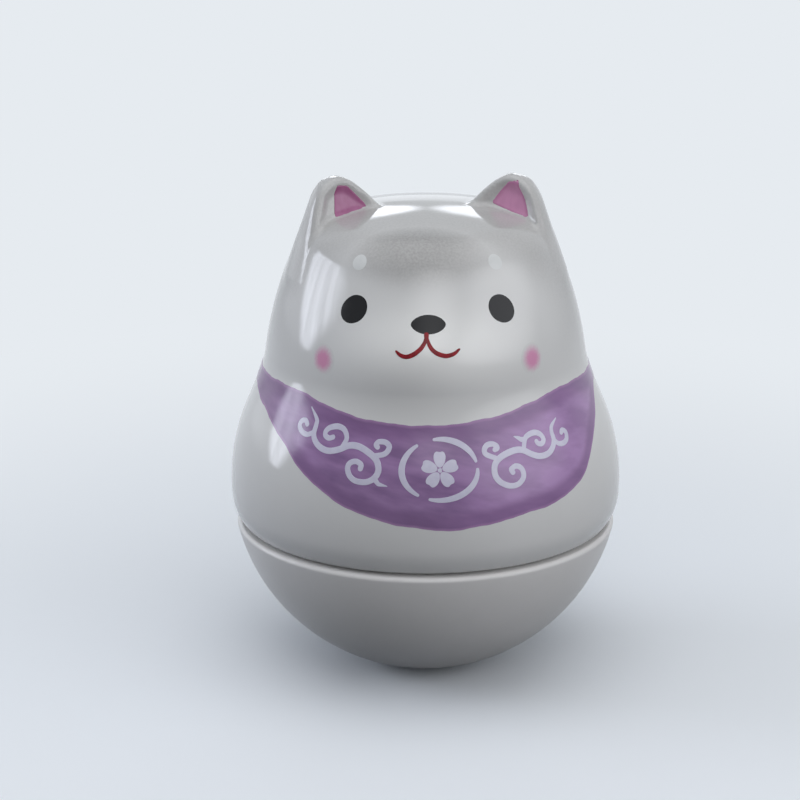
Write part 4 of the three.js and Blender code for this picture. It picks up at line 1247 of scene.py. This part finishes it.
# %% Ear pink finish
STROKE_GRAIN = 0.9
STROKE_STRETCH = 0.35
rose, tree, shader, at = new_finish("rose_overglaze_enamel", IOR=1.52)
drawn_up = add_node(tree, "ShaderNodeMapping", {"Vector": at, "Scale": (1.0, 1.0, STROKE_STRETCH)})
strokes = add_node(tree, "ShaderNodeTexNoise", {"Vector": drawn_up, "Scale": 1 / STROKE_GRAIN, "Detail": 4.0})
rim = add_node(tree, "ShaderNodeAttribute", attribute_name="rim_share")
pooled = add_node(
    tree,
    "ShaderNodeMapRange",
    {"Value": rim.outputs["Fac"], "From Min": 0.75, "From Max": 1.0, "To Min": 0.0, "To Max": 0.45},
)
# Painted light: the pink turns lighter towards the right ear, which stands in for the right ear being lit and
# the left one in shade.
sides = add_node(tree, "ShaderNodeSeparateXYZ", {0: at})
right_ear_lit_lighter = add_node(
    tree,
    "ShaderNodeMapRange",
    {"Value": sides.outputs["X"], "From Min": -6.0, "From Max": 6.0, "To Min": 0.0, "To Max": 0.6},
)
load = add_node(tree, "ShaderNodeMath", {0: strokes, 1: 0.4, 2: right_ear_lit_lighter}, operation="MULTIPLY_ADD")
tone = add_node(
    tree, "ShaderNodeMix", {0: load, 6: linear("#934878"), 7: linear("#d296bb")}, data_type="RGBA"
)
edged = add_node(tree, "ShaderNodeMix", {0: pooled, 6: tone, 7: linear("#9a3f78")}, data_type="RGBA")
smooth = add_node(
    tree,
    "ShaderNodeMapRange",
    {"Value": strokes, "From Min": 0.3, "From Max": 0.7, "To Min": 0.14, "To Max": 0.26},
)
feed(tree, shader, {"Base Color": edged, "Roughness": smooth})
print("ear finish:", rose.name)

# %% Ear pink
EAR_PINK = {
    "left": [(0.96, 2.85), (-0.59, 2.65), (-2.99, -0.2), (2.05, -2.7)],
    "right": [(0.3, 2.95), (1.7, 2.9), (3.45, -1.5), (-1.84, 0.1)],
}
PINK_CORNER = 0.3
PINK_FILM = 0.1
PINK_DIVE = 0.5
PINK_START = EAR_DISH - 0.4
PINK_WALKS = 10


def soft_outline(corners, radius, steps):
    corners = np.array(corners, float)
    path = []
    for i, corner in enumerate(corners):
        before = corners[i - 1] - corner
        after = corners[(i + 1) % len(corners)] - corner
        first = corner + radius * before / np.linalg.norm(before)
        last = corner + radius * after / np.linalg.norm(after)
        for t in np.linspace(0, 1, 7):
            path.append((1 - t) ** 2 * first + 2 * t * (1 - t) * corner + t**2 * last)
    path = np.array(path + path[:1])
    run = np.concatenate([[0], np.cumsum(np.linalg.norm(np.diff(path, axis=0), axis=1))])
    at = np.linspace(0, run[-1], steps, endpoint=False)
    return np.stack([np.interp(at, run, path[:, 0]), np.interp(at, run, path[:, 1])], 1)


for ear, corners in EAR_PINK.items():
    rim = soft_outline(corners, PINK_CORNER, MARK_STEPS)
    middle = rim.mean(0)
    pink = mark(ear + "_ear_pink", rim[:, 0] - middle[0], rim[:, 1] - middle[1])
    flat = np.array([v.co for v in pink.data.vertices]) / MM
    near_floor = np.full(len(flat), PINK_START)
    spots = ear_place(ear, flat[:, 0] + middle[0], near_floor, flat[:, 1] + middle[1] + CROWN_HEIGHT)
    for _ in range(PINK_WALKS):
        slope = slope_of(lambda points: ear_distance(ear, *points.T), spots)
        steep = np.maximum((slope**2).sum(1), LEAST_STEEP)
        spots -= (ear_distance(ear, *spots.T) / steep)[:, None] * slope
    normal = slope / np.sqrt(steep)[:, None]
    buried = -body_distance(spots)
    follow = np.clip(2 - buried / PINK_DIVE, 0, 1) * np.maximum(buried, 0)
    film = np.where(flat[:, 2] > 0, PINK_FILM / FILM * flat[:, 2], flat[:, 2])
    spots += (film + follow)[:, None] * normal
    pink.data.vertices.foreach_set("co", (spots * MM).ravel())
    pink.data.materials.append(rose)
    faces_outward(pink, SMOOTH_ALL)
    place(pink, "inner_ear_" + ear)

# %% [markdown]
# ## The bib
# The bib is flooded in purple with a wide brush, thicker along its outline where the first
# stroke went. It runs on as a narrow band round the neck. Its edges are drawn by bearing and
# height, with the small unevenness of a hand, and filled with a fine grid.

# %% Purple enamel
STROKE_LENGTH = 7.0
STROKE_WIDTH = 1.3
RIDGE_DEPTH = 0.012
WASH_WIDTH = 2.2
WASH_TURN = math.radians(15)
purple, tree, shader, at = new_finish("purple_overglaze_enamel", IOR=1.52)
stroke_scale = (1 / STROKE_LENGTH, 1 / STROKE_LENGTH, 1 / STROKE_WIDTH)
lengthwise = add_node(tree, "ShaderNodeMapping", {"Vector": at, "Scale": stroke_scale})
bristle = add_node(tree, "ShaderNodeTexNoise", {"Vector": lengthwise, "Scale": 1.0, "Detail": 4.0})
crossing = add_node(
    tree,
    "ShaderNodeMapping",
    {"Vector": at, "Rotation": (0, WASH_TURN, 0), "Scale": (STROKE_LENGTH, STROKE_LENGTH, WASH_WIDTH)},
    vector_type="TEXTURE",
)
wash = add_node(tree, "ShaderNodeTexNoise", {"Vector": crossing, "Scale": 1.0, "Detail": 3.0})
mixed = add_node(tree, "ShaderNodeMix", {0: 0.8, 2: bristle, 3: wash})
load = add_node(
    tree,
    "ShaderNodeMapRange",
    {"Value": mixed, "From Min": 0.36, "From Max": 0.64, "To Min": 0.0, "To Max": 0.7},
)
# Painted light: the purple turns lighter towards the right side, where more light falls.
sides = add_node(tree, "ShaderNodeSeparateXYZ", {0: at})
right_side_lit_lighter = add_node(
    tree,
    "ShaderNodeMapRange",
    {"Value": sides.outputs["X"], "From Min": 0.0, "From Max": 18.0, "To Min": 0.0, "To Max": 0.45},
    interpolation_type="SMOOTHSTEP",
)
uneven = add_node(tree, "ShaderNodeMath", {0: load, 1: right_side_lit_lighter}, operation="ADD")
tone = add_node(
    tree, "ShaderNodeMix", {0: uneven, 6: linear("#7f5a8e"), 7: linear("#b089be")}, data_type="RGBA"
)
edge = add_node(tree, "ShaderNodeAttribute", attribute_name="edge_mm")
# The first stroke's darker band, then the thin outermost edge.
for start, end, shade in ((1.2, 2.6, "#7a5087"), (0.05, 0.45, "#b48abb")):
    near_edge = add_node(
        tree,
        "ShaderNodeMapRange",
        {"Value": edge.outputs["Fac"], "From Min": start, "From Max": end, "To Min": 0.6, "To Max": 0.0},
        interpolation_type="SMOOTHSTEP",
    )
    tone = add_node(tree, "ShaderNodeMix", {0: near_edge, 6: tone, 7: linear(shade)}, data_type="RGBA")
smooth = add_node(
    tree,
    "ShaderNodeMapRange",
    {"Value": mixed, "From Min": 0.3, "From Max": 0.7, "To Min": 0.08, "To Max": 0.2},
)
ridges = add_node(tree, "ShaderNodeBump", {"Height": mixed, "Distance": RIDGE_DEPTH * MM, "Strength": 1.0})
feed(tree, shader, {"Base Color": tone, "Roughness": smooth, "Normal": ridges})
print("bib finish:", purple.name)

# %% Bib edges
BIB_UPPER = [
    (-95, 40.1), (-60, 40.3), (-48, 40.3), (-38, 39.7), (-29, 39.0), (-22, 38.65), (-15, 38.35),
    (-6, 38.2), (3, 38.1), (11, 38.3), (21, 38.6), (29, 39.0), (36, 39.5), (45, 40.05), (55, 40.4),
    (66, 40.3), (95, 40.1),
]
BIB_LOWER = [
    (-90, 38.2), (-77, 37.7), (-63, 36.4), (-54, 34.95), (-47, 33.6), (-40, 31.6), (-31, 29.55), (-22, 27.9),
    (-13, 26.9), (-5, 26.3), (1, 26.0), (6, 25.8), (12, 25.95), (18, 26.25), (26, 26.8), (35, 27.2),
    (40, 27.5), (45, 28.05), (51, 29.0), (55, 30.25), (59, 31.8), (62, 33.05), (70, 35.4), (76, 37.0),
    (81, 38.2), (95, 38.2),
]
BIB_COLUMNS = 480
EDGE_EASE = 3.0
# Size of each wave of the hand, waves round the neck, and how it takes part in the phase.
HAND_WAVES = ((0.05, 23, 1), (0.03, 41, 2), (0.015, 97, 0))


def eased_edge(knots, degrees):
    at, height = np.array(knots, float).T
    spread = np.linspace(-2 * EDGE_EASE, 2 * EDGE_EASE, 13)
    weights = np.exp(-((spread / EDGE_EASE) ** 2))
    return sum(w * np.interp(degrees + s, at, height) for s, w in zip(spread, weights)) / weights.sum()


def hand(degrees, phase):
    turns = np.radians(degrees)
    return sum(size * np.sin(waves * turns + times * phase) for size, waves, times in HAND_WAVES)


bearings = np.linspace(-180, 180, BIB_COLUMNS, endpoint=False)
upper = eased_edge(BIB_UPPER, bearings) + hand(bearings, phase=0.7)
lower = eased_edge(BIB_LOWER, bearings) + hand(bearings, phase=2.1)
print("bib:", round(float((upper - lower).max()), 1), "mm at its tallest")

# %% Bib
BIB_ROWS = 40
PAPER_RADIUS = 23.5
BIB_BEVEL = 0.12
shares = 0.5 - 0.5 * np.cos(np.linspace(0, math.pi, BIB_ROWS + 1))
heights = lower + (upper - lower) * shares[:, None]
from_edge = np.minimum(heights - lower, upper - heights)
bib_top = FILM * np.sqrt(np.clip(from_edge / BIB_BEVEL, 0, 1))
bib_top[[0, -1]] = -SINK
across = np.tile(np.radians(bearings) * PAPER_RADIUS, (BIB_ROWS + 1, 1))
front_side = np.stack([across, heights, bib_top], -1).reshape(-1, 3)
back_side = np.stack([across, heights, np.full_like(heights, -SINK)], -1)[1:-1].reshape(-1, 3)
number = np.arange((BIB_ROWS + 1) * BIB_COLUMNS).reshape(BIB_ROWS + 1, BIB_COLUMNS)
under = number.copy()
under[1:-1] = number[0, 0] + len(front_side) + np.arange(len(back_side)).reshape(-1, BIB_COLUMNS)
bib_faces = []
for grid, way in ((number, 1), (under, -1)):
    ahead = np.roll(grid, -1, axis=1)
    quads = np.stack([grid[:-1], ahead[:-1], ahead[1:], grid[1:]], -1).reshape(-1, 4)
    bib_faces += quads[:, ::way].tolist()
bib = new_piece("purple_bib", np.concatenate([front_side, back_side]), bib_faces)
mark_underside(bib, len(back_side))
edge_mm = bib.data.attributes.new("edge_mm", "FLOAT", "POINT")
edge_mm.data.foreach_set("value", np.concatenate([from_edge.ravel(), from_edge[1:-1].ravel()]))
bib_sheet = {"Body": body, "Turn": 0.0, "Height": 0.0, "Radius": PAPER_RADIUS * MM, "Steep": 1.0}
lay(bib, bib_sheet, purple)
place(bib, "bib")

# %% [markdown]
# ## Scrolls, ring and blossom
# Over the purple goes a pale lavender white, with the point of a brush: curling scrolls to both
# sides, a broken ring, and a blossom of five petals inside it. The scrolls are drawn as points
# on the flat paper, the ring as arcs of an ellipse.

# %% Lavender white
frost = dabbed_enamel(
    "lavender_white_enamel", grain=0.9, tones=("#dddcec", "#c8c3dc"), gloss=(0.12, 0.26), ripple=0.01
)
print("ornament finish:", frost.name)

# %% Scroll points
LEFT_SCROLL = {
    "main": [
        (-18.35, 5.95), (-17.15, 4.8), (-17.0, 4.15), (-17.05, 3.0), (-16.6, 2.2), (-15.55, 1.55),
        (-14.3, 1.35), (-12.95, 1.7), (-11.6, 2.35), (-10.35, 2.4), (-8.95, 1.85), (-7.85, 1.05),
        (-7.45, 0.1), (-7.55, -0.7), (-8.1, -1.4), (-9.0, -1.8), (-10.15, -1.75), (-10.9, -1.3),
        (-11.3, -0.55), (-11.3, 0.0), (-11.0, 0.4), (-10.4, 0.6), (-9.9, 0.45), (-9.65, 0.2), (-9.7, -0.2),
    ],
    "end": [
        (-17.15, 3.15), (-18.05, 2.7), (-19.0, 2.85), (-19.6, 3.3), (-19.75, 3.65), (-19.6, 4.05),
        (-19.25, 4.25), (-18.85, 4.25), (-18.5, 3.9),
    ],
    "upper": [
        (-12.55, 2.0), (-12.1, 3.0), (-12.25, 3.7), (-12.8, 4.25), (-13.7, 4.4), (-14.75, 4.1),
        (-15.25, 3.65), (-15.3, 3.25), (-15.1, 3.0), (-14.6, 2.85), (-14.05, 3.05),
    ],
    "root": [
        (-8.3, 1.45), (-7.05, 1.7), (-6.5, 2.1), (-6.3, 2.6), (-6.4, 2.9), (-6.9, 3.2), (-7.65, 3.2),
        (-7.95, 2.95), (-8.0, 2.75), (-7.8, 2.55),
    ],
    "thorn": [(-7.85, -1.25), (-7.45, -1.75), (-7.2, -1.9), (-6.35, -2.05)],
}
RIGHT_SCROLL = {
    "main": [
        (17.35, 4.15), (16.3, 3.45), (16.0, 2.75), (16.0, 1.75), (15.45, 0.9), (14.5, 0.35), (13.25, 0.3),
        (12.15, 0.7), (10.85, 1.45), (9.5, 1.55), (7.9, 1.1), (7.0, 0.45), (6.7, -0.35), (6.8, -1.25),
        (7.4, -2.05), (8.45, -2.6), (9.45, -2.6), (10.15, -2.15), (10.45, -1.55), (10.35, -0.85),
        (10.0, -0.45), (9.5, -0.3), (9.05, -0.5), (8.9, -0.65), (9.05, -1.0),
    ],
    "end": [
        (15.95, 1.9), (16.6, 1.2), (17.45, 1.05), (18.15, 1.3), (18.45, 1.8), (18.45, 2.25), (18.15, 2.5),
        (17.85, 2.55), (17.65, 2.35),
    ],
    "upper": [
        (11.05, 1.45), (11.5, 2.6), (12.1, 3.05), (13.15, 3.2), (13.95, 2.9), (14.3, 2.45), (14.35, 2.1),
        (14.1, 1.8), (13.75, 1.7), (13.35, 1.85), (13.2, 2.1),
    ],
    "root": [
        (7.25, 0.9), (5.95, 1.5), (5.7, 1.9), (5.8, 2.3), (6.2, 2.65), (6.85, 2.7), (7.35, 2.45),
        (7.45, 2.25), (7.4, 2.1), (7.1, 2.0),
    ],
    "thorn": [(11.25, 2.65), (10.9, 2.75), (10.6, 2.95), (10.05, 3.2)],
}
scrolls = {"left": LEFT_SCROLL, "right": RIGHT_SCROLL}
print("lines in each scroll:", [len(scroll) for scroll in scrolls.values()])

# %% Scrolls
SCROLL_LINE = 0.37
ROUNDEL_TURN = 4.2
ROUNDEL_BELOW_NECK = 2.3
ORNAMENT_LIFT = 0.05
SWELL = {
    "main": [(0, 0.25), (0.05, 0.7), (0.12, 1.0), (0.5, 1.1), (0.85, 0.95), (1, 0.9)],
    "end": [(0, 0.8), (0.5, 0.95), (1, 0.85)],
    "upper": [(0, 0.8), (0.5, 1.0), (1, 0.85)],
    "root": [(0, 0.8), (0.5, 0.95), (1, 0.85)],
    "thorn": [(0, 0.9), (0.5, 0.7), (1, 0.2)],
}
roundel = sheet(ROUNDEL_TURN, HEAD_WIDEST - ROUNDEL_BELOW_NECK)
for side, scroll in scrolls.items():
    lines = []
    for part, path in scroll.items():
        steps = np.linalg.norm(np.diff(path, axis=0), axis=1)
        along = np.concatenate([[0], np.cumsum(steps)]) / steps.sum()
        lines.append((path, SCROLL_LINE * np.interp(along, *np.array(SWELL[part]).T)))
    scroll_piece = brush(side + "_scroll", lines, roundel, frost, ORNAMENT_LIFT)
    place(scroll_piece, "scroll_" + side)

# %% Broken ring
RING_SIZE = (4.6, 3.7)
RING_LINE = 0.39
RING_STEPS = 25
RING_TIP = 0.3
RING_EASE = 0.12
RING_ARCS = {"left": (128, 235), "low": (255, 358), "high": (14, 98)}
swell = RING_TIP + (1 - RING_TIP) * np.sin(np.linspace(RING_EASE, math.pi - RING_EASE, RING_STEPS)) ** 0.6
for part, (first, last) in RING_ARCS.items():
    sweep = np.radians(np.linspace(first, last, RING_STEPS))
    path = np.stack([RING_SIZE[0] * np.cos(sweep), RING_SIZE[1] * np.sin(sweep)], 1)
    ring_piece = brush("ring_" + part, [(path, RING_LINE * swell)], roundel, frost, ORNAMENT_LIFT)
    place(ring_piece, "ring_arc_" + part)

# %% [markdown]
# The petals repeat, so one petal is drawn and a tree sets a copy on each of five points round
# the middle, turned to face outward, before the laying tree wraps them on to the glaze.

# %% Petal tree
HEART = (0.28, 0.38, 1.0)
flowering, given = start_tree("five_petals", {**SHEET, "Petals": "Int", "Petal At": "Float"})
wheel_size = {"Vertices": given["Petals"], "Radius": given["Petal At"]}
wheel = add_node(flowering, "GeometryNodeMeshCircle", wheel_size)
which = add_node(flowering, "GeometryNodeInputIndex")
step = add_node(flowering, "ShaderNodeMath", {0: 2 * math.pi, 1: given["Petals"]}, operation="DIVIDE")
facing = add_node(flowering, "ShaderNodeMath", {0: which, 1: step}, operation="MULTIPLY")
euler = add_node(flowering, "ShaderNodeCombineXYZ", {"Z": facing})
turned = add_node(flowering, "FunctionNodeEulerToRotation", {"Euler": euler})
on_points = {"Points": wheel, "Instance": given["Geometry"], "Rotation": turned}
copies = add_node(flowering, "GeometryNodeInstanceOnPoints", on_points)
upright = add_node(flowering, "GeometryNodeTransform", {"Geometry": copies, "Rotation": (0.0, 0.0, QUARTER)})
heart = add_node(flowering, "GeometryNodeTransform", {"Geometry": given["Geometry"], "Scale": HEART})
gathered = add_node(flowering, "GeometryNodeJoinGeometry", {"Geometry": upright})
feed(flowering, gathered, {"Geometry": heart})
real = add_node(flowering, "GeometryNodeRealizeInstances", {"Geometry": gathered})
end_on_glaze(flowering, real, given)
print("petal tree:", len(flowering.nodes), "nodes")

# %% Blossom
PETALS = 5
PETAL_AT = 1.36
PETAL_SIZE = (1.05, 0.74)
PETAL_NOTCH = (0.2, 0.4)
PETAL_FLARE = 0.22
bearing = np.where(around > math.pi, around - 2 * math.pi, around)
notch = 1 - PETAL_NOTCH[0] * np.exp(-((bearing / PETAL_NOTCH[1]) ** 2))
petal_across = PETAL_SIZE[0] * np.cos(around) * notch
petal_up = PETAL_SIZE[1] * np.sin(around) * (1 + PETAL_FLARE * np.cos(around))
blossom = mark("blossom_petals", petal_across, petal_up)
raise_film = np.array([v.co for v in blossom.data.vertices])
raise_film[:, 2] += ORNAMENT_LIFT * MM
blossom.data.vertices.foreach_set("co", raise_film.ravel())
flower = {"Petals": PETALS, "Petal At": PETAL_AT * MM, "Material": frost}
run_tree(blossom, flowering, {**roundel, **flower})
blossom.data.shade_smooth()
smooth_normals(blossom)
place(blossom, "blossom")

# %% [markdown]
# ## Table and light
# The figure stands on a wide pale card without gloss. Round the figure the card takes light and
# shadow. Further off it goes over into the room's pale colour for every ray that is seen, so card
# and room meet without a line, and that glow doesn't light the figure. A wide ceiling lamp gives
# the soft shadow, lamps in front and beside fill it in, and a curtained window to the left, a
# screen to the right and panes behind leave clear reflections in the glaze.


# %% Table
def seen_rays(tree):
    rays = add_node(tree, "ShaderNodeLightPath")
    straight = {0: rays.outputs["Is Camera Ray"], 1: rays.outputs["Is Glossy Ray"]}
    mirrored = add_node(tree, "ShaderNodeMath", straight, operation="MAXIMUM")
    through = {0: mirrored, 1: rays.outputs["Is Transmission Ray"]}
    return add_node(tree, "ShaderNodeMath", through, operation="MAXIMUM")


ROOM_PALE = "#e6ebf0"
CARD_PATCH = 180.0
CARD_FADE = (25.0, 160.0)
TABLE_HALF = 30000.0
room_colour = linear(ROOM_PALE)
paper_white, tree, shader, at = new_finish(
    "pale_studio_card", Roughness=0.7, Specular_IOR_Level=0.0, Emission_Color=room_colour
)
shade = add_node(tree, "ShaderNodeTexNoise", {"Vector": at, "Scale": 1 / CARD_PATCH, "Detail": 2.0})
near_pale = add_node(
    tree, "ShaderNodeMix", {0: shade, 6: linear("#eef3f8"), 7: linear("#f4f8fc")}, data_type="RGBA"
)
away = add_node(tree, "ShaderNodeVectorMath", {0: at}, operation="LENGTH")
far = add_node(
    tree,
    "ShaderNodeMapRange",
    {"Value": away, "From Min": CARD_FADE[0], "From Max": CARD_FADE[1]},
    interpolation_type="SMOOTHSTEP",
)
pale = add_node(tree, "ShaderNodeMix", {0: far, 6: near_pale, 7: linear("#000000")}, data_type="RGBA")
seen = seen_rays(tree)
tone = add_node(tree, "ShaderNodeMix", {0: seen, 6: linear("#525458"), 7: pale}, data_type="RGBA")
backdrop = add_node(tree, "ShaderNodeMath", {0: seen, 1: far}, operation="MULTIPLY")
feed(tree, shader, {"Base Color": tone, "Emission Strength": backdrop})
corners = [(x * TABLE_HALF, y * TABLE_HALF, 0) for x, y in ((-1, -1), (1, -1), (1, 1), (-1, 1))]
table = new_piece("table_top", corners, [(0, 1, 2, 3)])
table.data.materials.append(paper_white)
table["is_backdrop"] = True
print("table:", [round(s, 2) for s in table.dimensions], "m")

# %% Room
ROOM_LIGHT = 0.17
ROOM_SEEN = 1.0
world = bpy.data.worlds.new("room")
bpy.context.scene.world = world
world.use_nodes = True
tree = world.node_tree
by_ray = {"Value": seen_rays(tree), "To Min": ROOM_LIGHT, "To Max": ROOM_SEEN}
level = add_node(tree, "ShaderNodeMapRange", by_ray)
feed(tree, tree.nodes["Background"], {"Color": room_colour, "Strength": level})
print("the room gives", ROOM_LIGHT, "of the light that it shows")

# %% [markdown]
# A lamp's light can fade towards its edges, which softens its reflection. The window's curtains
# hang from its two sides, drawn apart towards the sill, and their folds dim the light in stripes.

# %% Lamp light
CURTAIN_NEAR = 0.55
CURTAIN_FAR = 0.28
CURTAIN_FAR_LENGTH = 0.6
CURTAIN_EDGE = 0.12
FOLDS = (17.0, 0.5, 0.0)


def soft_edged(tree, across, start):
    to_middle = {"Vector": across, "Location": (-1.0, -1.0, 0.0), "Scale": (2.0, 2.0, 0.0)}
    centred = add_node(tree, "ShaderNodeMapping", to_middle)
    out = add_node(tree, "ShaderNodeVectorMath", {0: centred}, operation="LENGTH")
    fading = {"Value": out, "From Min": start, "From Max": 1.0, "To Min": 1.0, "To Max": 0.0}
    return add_node(tree, "ShaderNodeMapRange", fading, interpolation_type="SMOOTHSTEP")


def curtained(tree, across):
    sides = add_node(tree, "ShaderNodeSeparateXYZ", {0: across})
    x, y = sides.outputs["X"], sides.outputs["Y"]
    near_edge = add_node(tree, "ShaderNodeMapRange", {"Value": y, "To Min": CURTAIN_NEAR, "To Max": 1.0})
    hanging = {"Value": y, "From Max": CURTAIN_FAR_LENGTH, "To Min": CURTAIN_FAR, "To Max": 0.0}
    far_edge = add_node(tree, "ShaderNodeMapRange", hanging)
    inside = add_node(tree, "ShaderNodeMath", {0: near_edge, 1: x}, operation="SUBTRACT")
    outside = add_node(tree, "ShaderNodeMath", {0: x, 1: far_edge}, operation="SUBTRACT")
    below = add_node(tree, "ShaderNodeMath", {0: 1.0, 1: y}, operation="SUBTRACT")
    nearest = add_node(tree, "ShaderNodeMath", {0: inside, 1: outside}, operation="MINIMUM")
    clear = add_node(tree, "ShaderNodeMath", {0: nearest, 1: below}, operation="MINIMUM")
    drawn_back = add_node(tree, "ShaderNodeMapRange", {"Value": clear, "From Max": CURTAIN_EDGE})
    stretched = add_node(tree, "ShaderNodeMapping", {"Vector": across, "Scale": FOLDS})
    cloth = add_node(tree, "ShaderNodeTexNoise", {"Vector": stretched, "Scale": 1.0, "Detail": 2.0})
    shading = {"Value": cloth, "From Min": 0.35, "From Max": 0.62, "To Min": 0.5, "To Max": 1.0}
    folds = add_node(tree, "ShaderNodeMapRange", shading)
    return add_node(tree, "ShaderNodeMath", {0: drawn_back, 1: folds}, operation="MULTIPLY")


print("lamp light: soft edged or curtained")

# %% Lamps
LAMP_AIM = (0.0, 0.0, 40.0)
# Bearing and height in degrees, distance, width and height in millimetres, watts and tint.
LAMPS = {
    "ceiling": (0.0, 82.0, 900.0, (1900.0, 1900.0), 16.0, "#fcfdff"),
    "back_pane_left": (-170.0, 19.0, 1500.0, (520.0, 350.0), 2.0, "#f4f8ff"),
    "back_pane_right": (170.0, 19.0, 1500.0, (520.0, 350.0), 1.5, "#f4f8ff"),
    "back_glow": (180.0, 5.0, 1600.0, (1600.0, 280.0), 0.7, "#f4f8ff"),
    "window": (-95.0, 13.5, 500.0, (445.0, 260.0), 2.2, "#eef3ff"),
    "screen": (60.0, 18.0, 560.0, (1000.0, 600.0), 3.1, "#fafbff"),
    "front_fill": (8.0, 34.0, 900.0, (900.0, 700.0), 4.3, "#fdfdff"),
    "side_left": (-128.0, 8.0, 900.0, (1400.0, 600.0), 1.8, "#f6f9ff"),
    "side_right": (128.0, 8.0, 900.0, (1400.0, 600.0), 0.5, "#f6f9ff"),
}
FADES = {
    "ceiling": 0.15, "screen": 0.35, "front_fill": 0.0, "side_left": 0.0, "side_right": 0.0,
    "back_pane_left": 0.75, "back_pane_right": 0.75,
}


def lamp_toward(azimuth, elevation, distance):
    level = distance * math.cos(math.radians(elevation))
    x = level * math.sin(math.radians(azimuth))
    y = -level * math.cos(math.radians(azimuth))
    return (x, y, LAMP_AIM[2] + distance * math.sin(math.radians(elevation)))


for name, (azimuth, elevation, distance, size, watts, tint) in LAMPS.items():
    lamp_data = bpy.data.lights.new(name, "AREA")
    lamp_data.shape = "RECTANGLE"
    lamp_data.size = size[0] * MM
    lamp_data.size_y = size[1] * MM
    lamp_data.energy = watts
    lamp_data.color = linear(tint)[:3]
    lamp_data.use_nodes = True
    tree = lamp_data.node_tree
    across = add_node(tree, "ShaderNodeNewGeometry").outputs["Parametric"]
    if name in FADES:
        feed(tree, tree.nodes["Emission"], {"Strength": soft_edged(tree, across, FADES[name])})
    if name == "window":
        feed(tree, tree.nodes["Emission"], {"Strength": curtained(tree, across)})
    lamp = bpy.data.objects.new(name, lamp_data)
    spot = mathutils.Vector(lamp_toward(azimuth, elevation, distance))
    lamp.location = spot * MM
    lamp.rotation_euler = (mathutils.Vector(LAMP_AIM) - spot).to_track_quat("-Z", "Y").to_euler()
    bpy.context.scene.collection.objects.link(lamp)
    print(f"{name}: {watts} W, {size[0]:.0f} x {size[1]:.0f} mm")

# %% [markdown]
# ## Last lines
# The picture is shown without a film curve, so that a colour looks as it is written. At the end
# the size of the box round the dressed figure is printed.

# %% Finish
bpy.context.scene.view_settings.view_transform = "Standard"
low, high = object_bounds()
print("box in mm:", [round(1000 * s, 2) for s in high - low])
